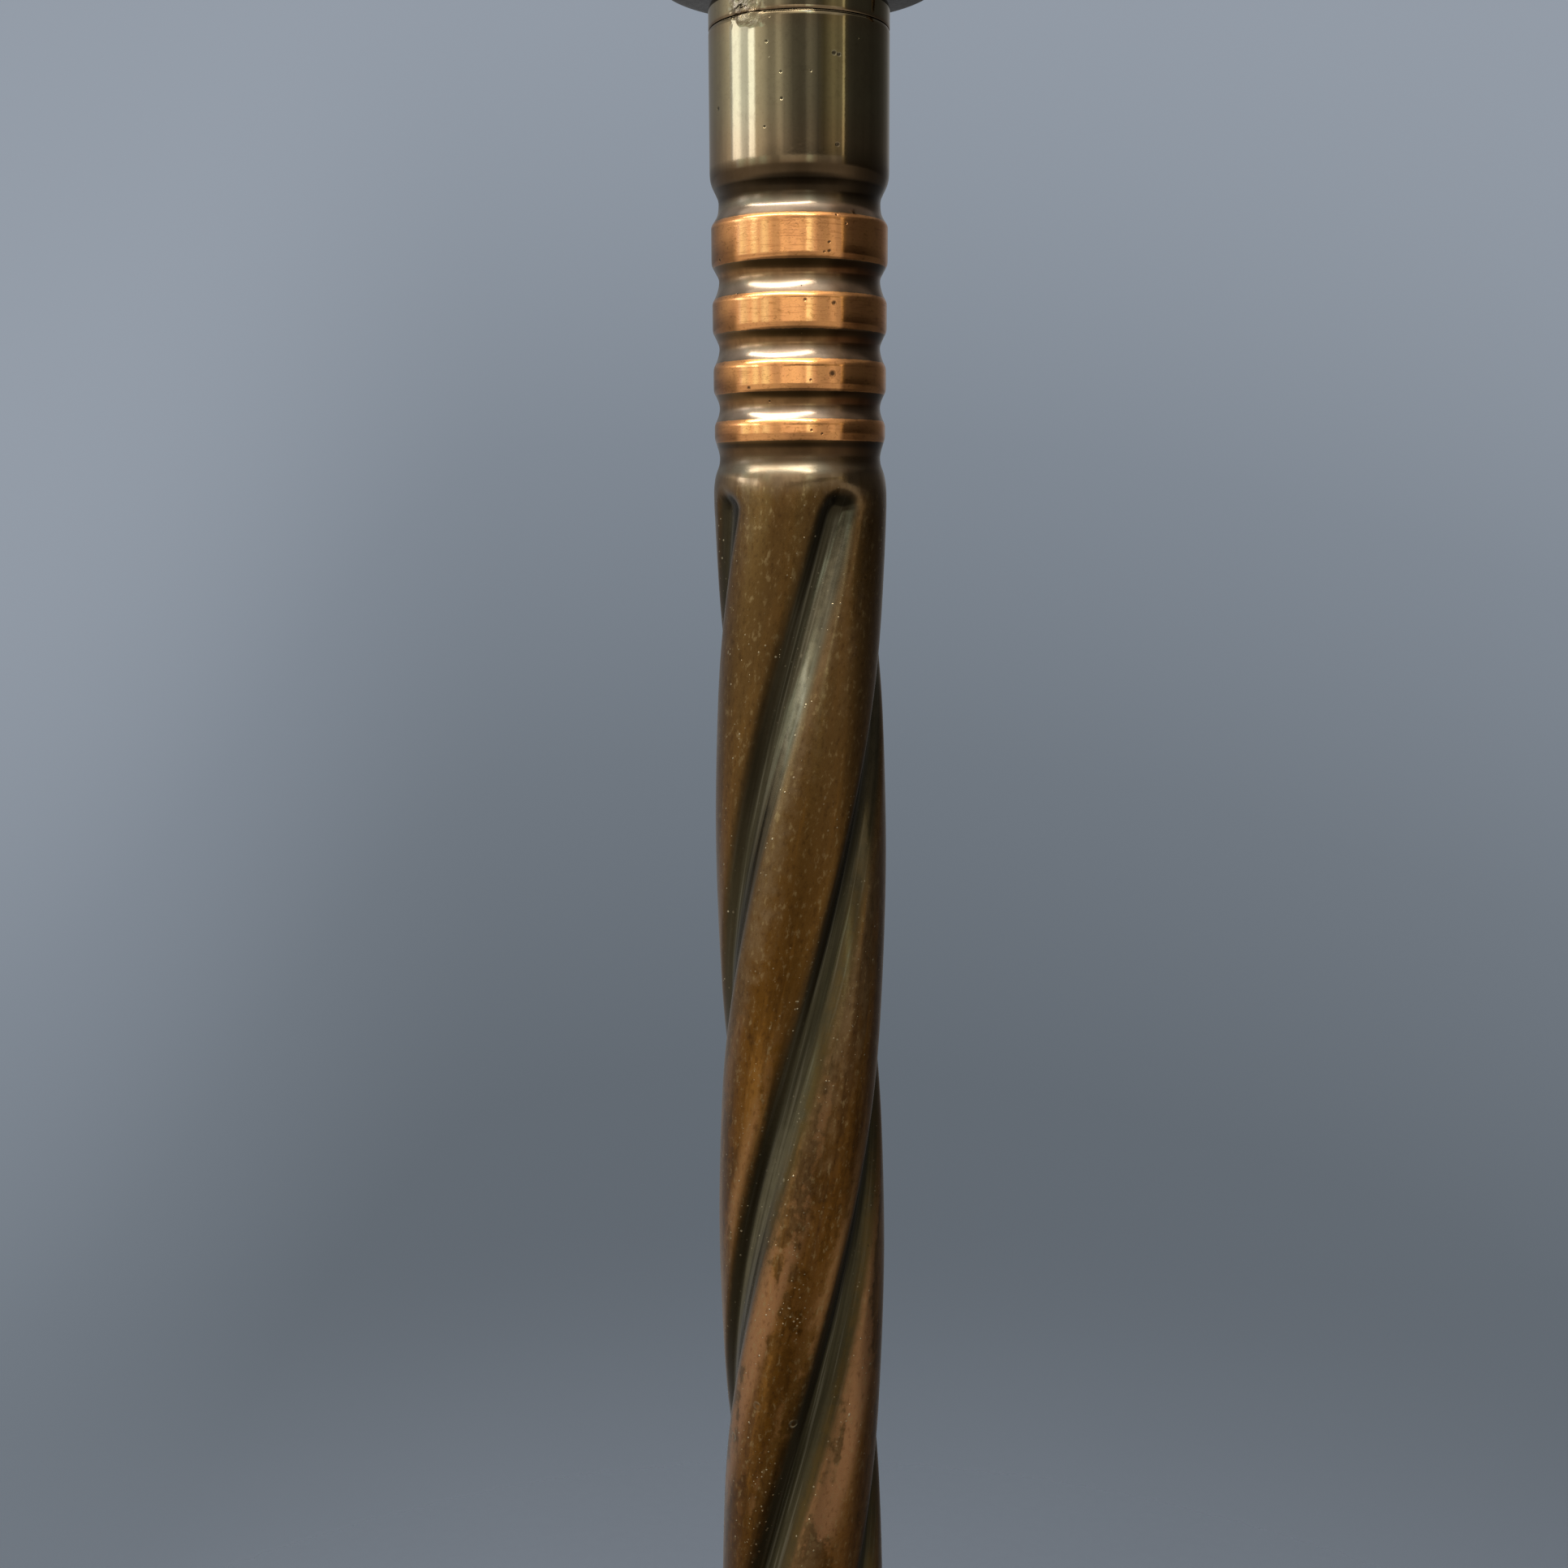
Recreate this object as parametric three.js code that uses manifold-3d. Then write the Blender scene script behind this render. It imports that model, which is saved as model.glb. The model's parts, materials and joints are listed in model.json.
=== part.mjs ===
// Table lamp: a weighted round foot, a formed copper-bronze tube with rolled rings
// and four twisted flutes, and a black lampholder with a turn switch on top.
// Millimetres, +Z up, origin at the middle of the foot's underside.
// The front of the lamp faces -Y and the cord's inlet faces +Y.
import * as THREE from 'three';
import { mergeVertices } from 'three/addons/utils/BufferGeometryUtils.js';
import Module from 'manifold-3d';

const wasm = await Module();
wasm.setup();

// ---------------------------------------------------------------- dimensions
const TUBE_R = 12.5;            // outer radius of the stem tube
const TUBE_WALL = 1.3;          // wall of the formed tube
const RING_Z = 280;             // height of the flutes' upper ends
const FLUTE_END = -200;         // lower end of the flutes, from RING_Z
const FLUTE_TOP = 2.2;          // upper end of the flutes, from RING_Z
const FLUTES = 4;
const FLUTE_PITCH = 242;        // rise of one full turn of a flute
const FLUTE_PHASE = -63;        // polar angle of the first flute at RING_Z, degrees
const LAND_DROP = 1.5;          // how far a rounded land falls towards a flute
const FLUTE_HALF = 14;          // half width of the groove between two lands, degrees
const FLUTE_DEPTH = 0.95;       // the groove's own depth
const FLUTE_RUNOUT = 6;         // length of a flute's rounded end
const STEM_BOTTOM = 56.2, STEM_TOP = 344.5;

const FOOT_R = 80;              // outer radius of the foot
const FOOT_SEAT = 51;           // height of the flat seat on top of the foot
const ROD_R = 5, ROD_BORE = 3.2;
const ROD_BOTTOM = 4.2, ROD_TOP = 357.2;

const HOLDER_Z = 350.6;         // underside of the lampholder's cap
const HOLDER_R = 19.4;
const CAP_TOP = 375;
const SKIRT_TOP = 404;
const SKIRT_R = 18.7;
const SHELL_IN = 13.6, SHELL_OUT = 14.4;
const SWITCH_Z = 358.6;         // height of the switch's axis, which lies along +X

// Height above RING_Z and share of the tube's radius, along the rolled rings.
const RING_PROFILE = [
  [64.5, 1.0], [46.6, 1.0], [44.8, 0.982], [43.5, 0.9516], [42.1, 0.9035], [40.9, 0.9035], [39.5, 0.9515],
  [38.2, 0.984], [36.4, 0.991], [34.2, 0.98], [32.85, 0.943], [31.5, 0.904], [30.2, 0.9045], [28.8, 0.954],
  [26.8, 0.984], [24.7, 0.9707], [23.35, 0.93], [21.8, 0.9015], [19.9, 0.945], [18.1, 0.981], [16.55, 0.9706],
  [15.2, 0.931], [13.7, 0.906], [12.2, 0.931], [10.4, 0.972], [8.4, 0.939], [6.9, 0.9145], [5.65, 0.9288],
  [4.25, 0.971], [2.2, 0.989],
];

// ------------------------------------------------------------------- helpers
const RAD = Math.PI / 180;

// Closed solid of a geometry: one vertex per point, no empty triangles.
function toSolid(geometry) {
  const g = geometry.index ? geometry.toNonIndexed() : geometry.clone();
  const bare = new THREE.BufferGeometry().setAttribute('position', g.getAttribute('position'));
  const merged = mergeVertices(bare, 1e-4);
  const a = merged.index.array, keep = [];
  for (let i = 0; i < a.length; i += 3)
    if (a[i] !== a[i + 1] && a[i + 1] !== a[i + 2] && a[i] !== a[i + 2]) keep.push(a[i], a[i + 1], a[i + 2]);
  const build = (tris) => new wasm.Manifold(new wasm.Mesh({
    numProp: 3, vertProperties: merged.attributes.position.array, triVerts: new Uint32Array(tris),
  }));
  const made = build(keep);
  if (made.volume() > 0) return made;
  for (let i = 0; i < keep.length; i += 3) [keep[i + 1], keep[i + 2]] = [keep[i + 2], keep[i + 1]];
  return build(keep);
}

function toGeometry(solid) {
  const m = solid.getMesh(), g = new THREE.BufferGeometry();
  const n = m.vertProperties.length / m.numProp, p = new Float32Array(n * 3);
  for (let i = 0; i < n; i++) for (let k = 0; k < 3; k++) p[3 * i + k] = m.vertProperties[i * m.numProp + k];
  g.setAttribute('position', new THREE.BufferAttribute(p, 3));
  g.setIndex(new THREE.BufferAttribute(new Uint32Array(m.triVerts), 1));
  g.computeVertexNormals();
  return g;
}

// Solid turned about Z from a closed list of [radius, height].
function turned(profile, sides) {
  const closed = profile[0][0] === 0 && profile[profile.length - 1][0] === 0 ? profile : [...profile, profile[0]];
  const g = new THREE.LatheGeometry(closed.map(([r, z]) => new THREE.Vector2(r, z)), sides);
  return toSolid(g.rotateX(Math.PI / 2));
}

const ring = (r0, r1, z0, z1, sides) => turned([[r0, z0], [r1, z0], [r1, z1], [r0, z1]], sides);

function placed(geometry, x, y, z) {
  return toSolid(geometry.translate(x, y, z));
}

// Round bar along X, Y or Z between two places on that axis, centred on (u, v).
function bar(axis, r, from, to, u, v, sides) {
  const g = new THREE.CylinderGeometry(r, r, to - from, sides);
  const mid = (from + to) / 2;
  if (axis === 'x') return placed(g.rotateZ(Math.PI / 2), mid, u, v);
  if (axis === 'y') return placed(g, u, mid, v);
  return placed(g.rotateX(Math.PI / 2), u, v, mid);
}

const block = (x0, x1, y0, y1, z0, z1) =>
  placed(new THREE.BoxGeometry(x1 - x0, y1 - y0, z1 - z0), (x0 + x1) / 2, (y0 + y1) / 2, (z0 + z1) / 2);

// Hexagon nut with a round hole, standing on z0.
function nut(flats, hole, z0, z1, sides) {
  const s = new THREE.Shape(), r = flats / Math.sqrt(3);
  for (let i = 0; i < 6; i++) {
    const a = (i * 60 + 30) * RAD;
    if (i) s.lineTo(r * Math.cos(a), r * Math.sin(a));
    else s.moveTo(r * Math.cos(a), r * Math.sin(a));
  }
  s.closePath();
  const h = new THREE.Path();
  h.absarc(0, 0, hole, 0, 2 * Math.PI, true);
  s.holes.push(h);
  return placed(new THREE.ExtrudeGeometry(s, { depth: z1 - z0, bevelEnabled: false, curveSegments: sides }), 0, 0, z0);
}

// ------------------------------------------------------------------ the stem
function ringShare(h) {
  if (h >= RING_PROFILE[0][0]) return RING_PROFILE[0][1];
  for (let i = 1; i < RING_PROFILE.length; i++) {
    const [h0, s0] = RING_PROFILE[i - 1], [h1, s1] = RING_PROFILE[i];
    if (h >= h1) return s0 + ((s1 - s0) * (h0 - h)) / (h0 - h1);
  }
  return h > -3 ? 0.989 + (0.011 * (2.2 - h)) / 5.2 : 1;
}

// Depth of the flutes at height h and psi degrees from a flute's middle line.
function fluteCut(h, psi) {
  const s = Math.min(FLUTE_TOP - h, h - FLUTE_END);
  if (s <= 0) return 0;
  const t = Math.min(1, s / FLUTE_RUNOUT), round = Math.sqrt(1 - (1 - t) * (1 - t));
  const away = Math.abs(psi), half = FLUTE_HALF * (0.35 + 0.65 * round);
  const land = LAND_DROP * Math.pow(Math.max(0, 1 - away / 45), 1.7) * Math.min(1, s / (2 * FLUTE_RUNOUT));
  return land + (away >= half ? 0 : FLUTE_DEPTH * round * 0.5 * (1 + Math.cos((Math.PI * away) / half)));
}

const twist = (h) => FLUTE_PHASE + (360 * Math.max(FLUTE_END, Math.min(0, h))) / FLUTE_PITCH;

// Closed tube surface through rows of heights, every row turned with the flutes.
function flutedBar(heights, angles, inset) {
  const p = [], n = heights.length, m = angles.length * FLUTES, tris = [];
  for (const h of heights)
    for (let k = 0; k < FLUTES; k++)
      for (const psi of angles) {
        const r = TUBE_R * ringShare(h) - fluteCut(h, psi) - inset;
        const a = (twist(h) + k * (360 / FLUTES) + psi) * RAD;
        p.push(r * Math.cos(a), r * Math.sin(a), RING_Z + h);
      }
  const top = p.length / 3;
  p.push(0, 0, RING_Z + heights[0], 0, 0, RING_Z + heights[n - 1]);
  for (let i = 0; i < n - 1; i++)
    for (let j = 0; j < m; j++) {
      const a = i * m + j, b = i * m + ((j + 1) % m), c = a + m, d = b + m;
      tris.push(a, c, b, b, c, d);
    }
  for (let j = 0; j < m; j++) {
    tris.push(top, j, (j + 1) % m);
    tris.push(top + 1, (n - 1) * m + ((j + 1) % m), (n - 1) * m + j);
  }
  const g = new THREE.BufferGeometry();
  g.setAttribute('position', new THREE.BufferAttribute(new Float32Array(p), 3));
  g.setIndex(tris);
  return toSolid(g);
}

function steps(from, to, count) {
  return Array.from({ length: count + 1 }, (_, i) => from + ((to - from) * i) / count);
}
const outerRows = [
  ...RING_PROFILE.map(([h]) => h),
  0.8, -0.8, -2.6, -5, ...steps(-12, FLUTE_END + 8, 18), FLUTE_END + 3, FLUTE_END + 1, FLUTE_END, STEM_BOTTOM - RING_Z,
];
const innerRows = [
  STEM_TOP - RING_Z + 5, 47, 42, 36, 30.8, 22, 14, 6.5, 2, -6,
  ...steps(-16, FLUTE_END + 10, 11), FLUTE_END - 2, STEM_BOTTOM - RING_Z - 5,
];
const flutedStem = flutedBar(outerRows, [-45, -30, -20, -14, -7, 0, 7, 14, 20, 30], 0)
  .subtract(flutedBar(innerRows, [-45, -22, 0, 22], TUBE_WALL));

// ------------------------------------------------------------------ the foot
const shellOuter = [
  [80, 1], [80, 14.5], [79.3, 16.2], [77.8, 17], [76.2, 17.2], [75.6, 18], [75.8, 19.4], [75, 21],
  [73.2, 21.8], [70, 22.6], [62, 25.6], [52, 29], [46, 30.6], [44.8, 31.4], [44.5, 33], [43.3, 34.6],
  [41.2, 35.2], [36, 37.2], [30, 41], [26.4, 45.6], [24.4, 49.4], [22.8, FOOT_SEAT], [5.6, FOOT_SEAT],
];
const shellInner = [
  [5.6, 49.6], [22, 49.6], [25, 44.8], [29, 39.9], [35.3, 35.9], [42.6, 32.6], [43.4, 30.4], [51.5, 27.6],
  [61.4, 24.2], [73.6, 19.8], [74.2, 17.2], [78.5, 14.3], [78.5, 1],
];
const GROMMET_Z = 9.4;         // height of the cord's inlet
const footShell = turned([...shellOuter, ...shellInner], 32)
  .subtract(bar('y', 4.9, 70, 90, 0, GROMMET_Z, 16));

const SCREWS = [90 + 60, 90 + 180, 90 + 300].map((a) => [52 * Math.cos(a * RAD), 52 * Math.sin(a * RAD)]);
let footWeight = turned([
  [5.6, 14], [16, 14], [16, 3.6], [70, 3.6], [70, 16], [67, 18.5], [58, 22.6], [42, 27.2], [26, 36.5],
  [19, 42], [17, 49.4], [5.6, 49.4],
], 24).subtract(block(-4.5, 4.5, 10, 75, 0, 12.5));
let plate = turned([[0, 2.1], [77, 2.1], [77, 3.3], [0, 3.3]], 36);
let felt = turned([[0, 0], [75.4, 0], [76, 0.6], [76, 2], [0, 2]], 36);
for (const [x, y] of SCREWS) {
  footWeight = footWeight.subtract(bar('z', 2, 0, 13, x, y, 10));
  plate = plate.subtract(bar('z', 2.2, 0, 5, x, y, 10));
  felt = felt.subtract(bar('z', 4.4, -1, 4, x, y, 12));
}
const plateScrew = ([x, y]) => bar('z', 1.7, 1.8, 11, x, y, 10).add(bar('z', 3.6, 0.5, 1.9, x, y, 12));

const grommet = bar('y', 4.6, 76, 79.7, 0, GROMMET_Z, 16)
  .add(bar('y', 5.8, 74.4, 77, 0, GROMMET_Z, 16))
  .subtract(bar('y', 2.7, 70, 90, 0, GROMMET_Z, 12));

const ferrule = turned([
  [5.6, 51.2], [21.4, 51.2], [21.6, 53.2], [20.6, 55], [18.6, 56], [17.2, 58], [16.3, 62], [15.6, 67],
  [15.5, 68.6], [16.6, 69.6], [16.9, 71], [16.3, 72.4], [15.1, 73], [14.4, 74], [13.1, 74.4], [12.8, 74.2],
  [12.8, 56], [5.6, 56],
], 24);

// ------------------------------------------------------- what ties it together
const rod = ring(ROD_BORE, ROD_R, ROD_BOTTOM, ROD_TOP, 16);
const lowerBush = ring(5.3, 10.6, 56.3, 64, 20);
const capNeck = turned([
  [5.3, 336], [10.8, 336], [10.8, 344.7], [12.5, 344.7], [12.5, 347.3], [12.15, 348.2], [11.3, 348.6], [5.3, 348.6],
], 24);
const clampNut = nut(15, 5.2, 348.75, 350.45, 16);
const entryNut = nut(14, 5.2, 354.1, 356.8, 16);
const baseWasher = ring(5.4, 14, 12.4, 13.85, 20);
const lockWasher = ring(5.4, 9.2, 11.2, 12.3, 20);
const baseNut = nut(17, 5.2, 5, 11.05, 16);

// ------------------------------------------------------------- the lampholder
const holderCap = turned([
  [5.4, HOLDER_Z], [18.9, HOLDER_Z], [HOLDER_R, HOLDER_Z + 0.5], [HOLDER_R, CAP_TOP - 0.8],
  [HOLDER_R - 0.7, CAP_TOP], [17.6, CAP_TOP], [17.6, HOLDER_Z + 3.3], [5.4, HOLDER_Z + 3.3],
], 24)
  .add(bar('x', 5.2, 18, 22.6, 0, SWITCH_Z, 16))
  .subtract(bar('x', 3.3, 10, 30, 0, SWITCH_Z, 12));

const TERMINALS = [[-8.5, 8.5], [-8.5, -8.5]];
let terminalBlock = turned([
  [0, 364], [16.9, 364], [16.9, 369.2], [14.2, 369.2], [14.2, 376.2], [0, 376.2],
], 24);
for (const [x, y] of TERMINALS) terminalBlock = terminalBlock.subtract(bar('z', 1.7, 360, 371, x, y, 8));
const terminalScrew = ([x, y]) => bar('z', 1.4, 362, 370, x, y, 8).add(bar('z', 2.8, 361.2, 363.7, x, y, 12));

const centreLeaf = new THREE.Shape([
  [-8, 376.4], [8, 376.4], [8, 377], [5.5, 377], [2.6, 380.4], [-2.6, 380.4], [-5.5, 377], [-8, 377],
].map(([x, z]) => new THREE.Vector2(x, z)));
const centreContact = placed(
  new THREE.ExtrudeGeometry(centreLeaf, { depth: 6, bevelEnabled: false }).rotateX(Math.PI / 2), 0, 3, 0);
const sideContact = block(-2.6, 2.6, 8.6, 12.6, 376.4, 377);

const screwShell = turned([
  [11.6, 377.3], [SHELL_OUT, 377.3], [SHELL_OUT, 402.2], [SHELL_IN, 402.2], [SHELL_IN, 378], [11.6, 378],
], 24);
const skirt = turned([
  [14.8, 369.6], [17.3, 369.6], [17.3, CAP_TOP + 0.3], [22.2, CAP_TOP + 0.3], [22.7, CAP_TOP + 0.8],
  [22.7, CAP_TOP + 1.7], [22.2, CAP_TOP + 2.2], [SKIRT_R, CAP_TOP + 2.2], [SKIRT_R, SKIRT_TOP - 0.8],
  [SKIRT_R - 0.8, SKIRT_TOP], [14.4, SKIRT_TOP], [14, SKIRT_TOP - 0.5], [14, 402.6], [14.8, 402.6],
], 24);
const shadeRing = turned([
  [19.7, 377.5], [25.6, 377.5], [27.6, 378.3], [27.6, 381], [25.8, 381.8], [23.2, 382.2], [22.4, 384.8],
  [21.8, 385.4], [19.7, 385.4],
], 24);

// --------------------------------------------------------------- turn switch
const switchBush = bar('x', 3, 14.8, 23.4, 0, SWITCH_Z, 12)
  .add(bar('x', 4.6, 22.9, 24.4, 0, SWITCH_Z, 12))
  .subtract(bar('x', 2.2, 10, 30, 0, SWITCH_Z, 12));
const spindle = bar('x', 1.8, 9.4, 31, 0, SWITCH_Z, 12);
const cam = block(10.2, 13.8, -2.5, 2.5, SWITCH_Z - 2.5, SWITCH_Z + 2.5)
  .subtract(bar('x', 2.1, 5, 20, 0, SWITCH_Z, 12));
const leaf = block(10.2, 13.8, 4.6, 5.1, 355.4, 363.7);

const paddle = new THREE.Shape();
paddle.moveTo(29.4, -2.6);
paddle.bezierCurveTo(31.5, -3.2, 32.6, -6.4, 35.6, -6.6);
paddle.bezierCurveTo(39.6, -6.6, 41.4, -3.4, 41.4, 0);
paddle.bezierCurveTo(41.4, 3.4, 39.6, 6.6, 35.6, 6.6);
paddle.bezierCurveTo(32.6, 6.4, 31.5, 3.2, 29.4, 2.6);
paddle.closePath();
const keyWing = placed(
  new THREE.ExtrudeGeometry(paddle, { depth: 2.8, bevelEnabled: false, curveSegments: 5 }).rotateX(Math.PI / 2),
  0, 1.4, SWITCH_Z);
const key = keyWing
  .add(bar('x', 3.4, 25, 32, 0, SWITCH_Z, 14))
  .subtract(bar('x', 2, 20, 31.4, 0, SWITCH_Z, 12));

// ------------------------------------------------------------------ assembly
const finish = {
  bronze: { color: 0x7a5a38, roughness: 0.34, metalness: 1 },
  copper: { color: 0x8a5c38, roughness: 0.32, metalness: 1 },
  iron: { color: 0x3c3c3d, roughness: 0.8, metalness: 0.7 },
  steel: { color: 0xa8abad, roughness: 0.4, metalness: 1 },
  brass: { color: 0xb59a55, roughness: 0.35, metalness: 1 },
  phenolic: { color: 0x17181a, roughness: 0.28, metalness: 0 },
  ceramic: { color: 0xe6e2d8, roughness: 0.6, metalness: 0 },
  felt: { color: 0x23362b, roughness: 0.95, metalness: 0 },
  rubber: { color: 0x1b1b1c, roughness: 0.7, metalness: 0 },
};
const lamp = new THREE.Group();
const foot = new THREE.Group(), stem = new THREE.Group(), holder = new THREE.Group(), turnSwitch = new THREE.Group();
lamp.add(foot, stem, holder);
holder.add(turnSwitch);

function piece(group, name, solid, look) {
  const mesh = new THREE.Mesh(toGeometry(solid), new THREE.MeshStandardMaterial(finish[look]));
  mesh.name = name;
  group.add(mesh);
}

piece(foot, 'felt_pad', felt, 'felt');
piece(foot, 'bottom_plate', plate, 'steel');
SCREWS.forEach((at, i) => piece(foot, `plate_screw_${i + 1}`, plateScrew(at), 'steel'));
piece(foot, 'base_shell', footShell, 'bronze');
piece(foot, 'base_weight', footWeight, 'iron');
piece(foot, 'cord_grommet', grommet, 'rubber');
piece(foot, 'base_washer', baseWasher, 'steel');
piece(foot, 'base_lock_washer', lockWasher, 'steel');
piece(foot, 'base_nut', baseNut, 'steel');
piece(foot, 'foot_ferrule', ferrule, 'bronze');

piece(stem, 'fluted_stem', flutedStem, 'copper');
piece(stem, 'threaded_rod', rod, 'steel');
piece(stem, 'lower_bush', lowerBush, 'phenolic');
piece(stem, 'tube_cap', capNeck, 'bronze');
piece(stem, 'clamp_nut', clampNut, 'brass');

piece(holder, 'lampholder_cap', holderCap, 'phenolic');
piece(holder, 'entry_nut', entryNut, 'steel');
piece(holder, 'terminal_block', terminalBlock, 'ceramic');
TERMINALS.forEach((at, i) => piece(holder, `terminal_screw_${i + 1}`, terminalScrew(at), 'brass'));
piece(holder, 'centre_contact', centreContact, 'brass');
piece(holder, 'side_contact', sideContact, 'brass');
piece(holder, 'screw_shell', screwShell, 'brass');
piece(holder, 'lampholder_skirt', skirt, 'phenolic');
piece(holder, 'shade_ring', shadeRing, 'phenolic');
piece(turnSwitch, 'switch_bush', switchBush, 'brass');
piece(turnSwitch, 'switch_leaf', leaf, 'brass');
piece(turnSwitch, 'switch_spindle', spindle, 'brass');
piece(turnSwitch, 'switch_cam', cam, 'ceramic');
piece(turnSwitch, 'switch_key', key, 'brass');

export default lamp;
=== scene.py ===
"""Looks of a table lamp with a twisted copper stem: meshes, finishes, studio and camera.

Lengths are written in millimetres, as the construction has them, and turned into metres when a mesh is made.
"""

import json
import math

import bmesh
import bpy
import numpy as np
from mathutils import Euler, Matrix, Vector, noise


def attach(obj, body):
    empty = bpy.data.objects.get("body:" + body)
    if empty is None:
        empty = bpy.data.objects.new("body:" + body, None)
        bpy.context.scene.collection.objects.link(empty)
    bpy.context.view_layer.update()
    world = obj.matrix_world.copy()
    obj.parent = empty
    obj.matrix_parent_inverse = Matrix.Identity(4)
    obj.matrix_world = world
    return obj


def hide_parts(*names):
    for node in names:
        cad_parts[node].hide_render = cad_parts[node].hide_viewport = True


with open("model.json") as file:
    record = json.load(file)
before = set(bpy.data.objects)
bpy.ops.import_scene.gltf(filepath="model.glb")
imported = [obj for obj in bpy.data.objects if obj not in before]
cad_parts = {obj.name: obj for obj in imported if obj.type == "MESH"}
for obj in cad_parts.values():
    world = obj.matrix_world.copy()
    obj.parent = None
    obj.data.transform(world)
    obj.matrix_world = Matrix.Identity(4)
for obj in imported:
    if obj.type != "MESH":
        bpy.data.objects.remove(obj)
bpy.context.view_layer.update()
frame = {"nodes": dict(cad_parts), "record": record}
nodes = frame["nodes"]
scene = bpy.context.scene

MM = 0.001

# ------------------------------------------------------------------------------------------------------------------
# Driving dimensions, as in the construction
# ------------------------------------------------------------------------------------------------------------------
TUBE_R = 12.5
STEM_BOTTOM, STEM_TOP = 56.2, 344.5
RING_Z = 280.0  # height of the flutes' upper ends; heights on the stem are counted from here
FLUTES = 4
FLUTE_PITCH = 242.0
FLUTE_PHASE = -63.0
FLUTE_END = -200.0
GROOVE_HALF = 16.0  # half width of the groove between two rounded lands, degrees
LAND_DROP = 0.115  # how far the lands round off towards a groove, share of the tube's radius
GROOVE_DEPTH = 0.085  # the groove's own depth, share of the tube's radius

# half outline of the turned rings: height above RING_Z, share of the tube's radius
RING_OUTLINE = [
    (64.5, 1.0), (45.9, 1.0), (45.4, 0.9985), (44.85, 0.994), (44.3, 0.983), (43.75, 0.965), (43.15, 0.940), (42.35, 0.910),
    (41.8, 0.9020), (41.2, 0.9035), (40.7, 0.9070), (40.4, 0.9107), (40.15, 0.9153), (39.95, 0.9210), (39.75, 0.9290), (39.55, 0.9385), (39.35, 0.9485), (39.15, 0.9585), (39.0, 0.9660), (38.88, 0.9720),
    (38.77, 0.9775), (38.68, 0.9815), (38.59, 0.9845), (38.5, 0.9863), (38.41, 0.9874), (38.32, 0.9880), (34.05, 0.9880), (33.65, 0.9868), (33.4, 0.9838), (33.2, 0.978), (33.0, 0.968), (32.65, 0.953), (32.1, 0.928), (31.75, 0.9120),
    (31.4, 0.9040), (31.0, 0.9035), (30.7, 0.9060), (30.4, 0.9100), (30.1, 0.9155), (29.8, 0.9225), (29.5, 0.9310), (29.2, 0.9405), (28.9, 0.9515), (28.7, 0.9598), (28.55, 0.9660), (28.44, 0.9703),
    (28.34, 0.9738), (28.25, 0.9764), (28.16, 0.9783), (28.07, 0.9796), (27.98, 0.9803), (27.9, 0.9806), (24.85, 0.9806), (24.5, 0.9794), (24.25, 0.9762), (24.03, 0.970), (23.8, 0.960), (23.45, 0.945), (22.95, 0.926), (22.6, 0.9140), (22.3, 0.9070),
    (22.0, 0.9050), (21.7, 0.9065), (21.4, 0.9100), (21.1, 0.9150), (20.8, 0.9215), (20.5, 0.9290), (20.25, 0.9365), (20.05, 0.9435), (19.9, 0.9495), (19.78, 0.9545), (19.67, 0.9590), (19.57, 0.9627), (19.47, 0.9658),
    (19.37, 0.9684), (19.27, 0.9706), (19.17, 0.9723), (19.07, 0.9736), (18.97, 0.9745), (18.85, 0.9750), (18.7, 0.9752),
    (16.6, 0.9752), (16.25, 0.9740), (16.0, 0.9708), (15.8, 0.965), (15.6, 0.955), (15.25, 0.941), (14.75, 0.923), (14.35, 0.9135), (14.0, 0.9090), (13.7, 0.9080), (13.4, 0.9100), (13.1, 0.9140),
    (12.8, 0.9200), (12.55, 0.9265), (12.3, 0.9345), (12.1, 0.9415), (11.95, 0.9470), (11.83, 0.9515), (11.72, 0.9553), (11.62, 0.9585), (11.52, 0.9612), (11.42, 0.9634), (11.32, 0.9652), (11.22, 0.9665), (11.12, 0.9674), (11.02, 0.9680), (10.9, 0.9683),
    (9.85, 0.9683), (9.58, 0.9668), (9.30, 0.962), (9.0, 0.953),
    (8.4, 0.938), (7.85, 0.924), (7.15, 0.9125), (6.7, 0.9115), (6.2, 0.9145), (5.8, 0.921), (5.5, 0.929), (5.2, 0.9385), (4.9, 0.948), (4.5, 0.9585), (4.0, 0.9685),
    (3.4, 0.9775), (2.6, 0.9855), (1.6, 0.9915), (0.4, 0.9955), (-1.0, 0.998), (-3.0, 1.0),
]
# polished bands on the rings: lower and upper edge above RING_Z
POLISHED = [(32.95, 38.95), (23.80, 28.65), (15.60, 19.85), (9.00, 11.85)]


# ------------------------------------------------------------------------------------------------------------------
# Small numeric helpers
# ------------------------------------------------------------------------------------------------------------------
def ease(t):
    t = np.clip(t, 0.0, 1.0)
    return t * t * (3.0 - 2.0 * t)


def blur(values, step, sigma):
    reach = int(math.ceil(3 * sigma / step))
    k = np.exp(-0.5 * (np.arange(-reach, reach + 1) * step / sigma) ** 2)
    k /= k.sum()
    padded = np.concatenate([np.full(reach, values[0]), values, np.full(reach, values[-1])])
    return np.convolve(padded, k, mode="valid")


_fine_h = np.arange(-6.0, 66.0, 0.05)
_points = sorted(RING_OUTLINE)
_fine_s = blur(np.interp(_fine_h, [p[0] for p in _points], [p[1] for p in _points]), 0.05, 0.09)


def ring_share(h):
    return np.interp(h, _fine_h, _fine_s)


def twist_deg(h):
    return FLUTE_PHASE + 360.0 * np.clip(h, FLUTE_END, 0.0) / FLUTE_PITCH


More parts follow.
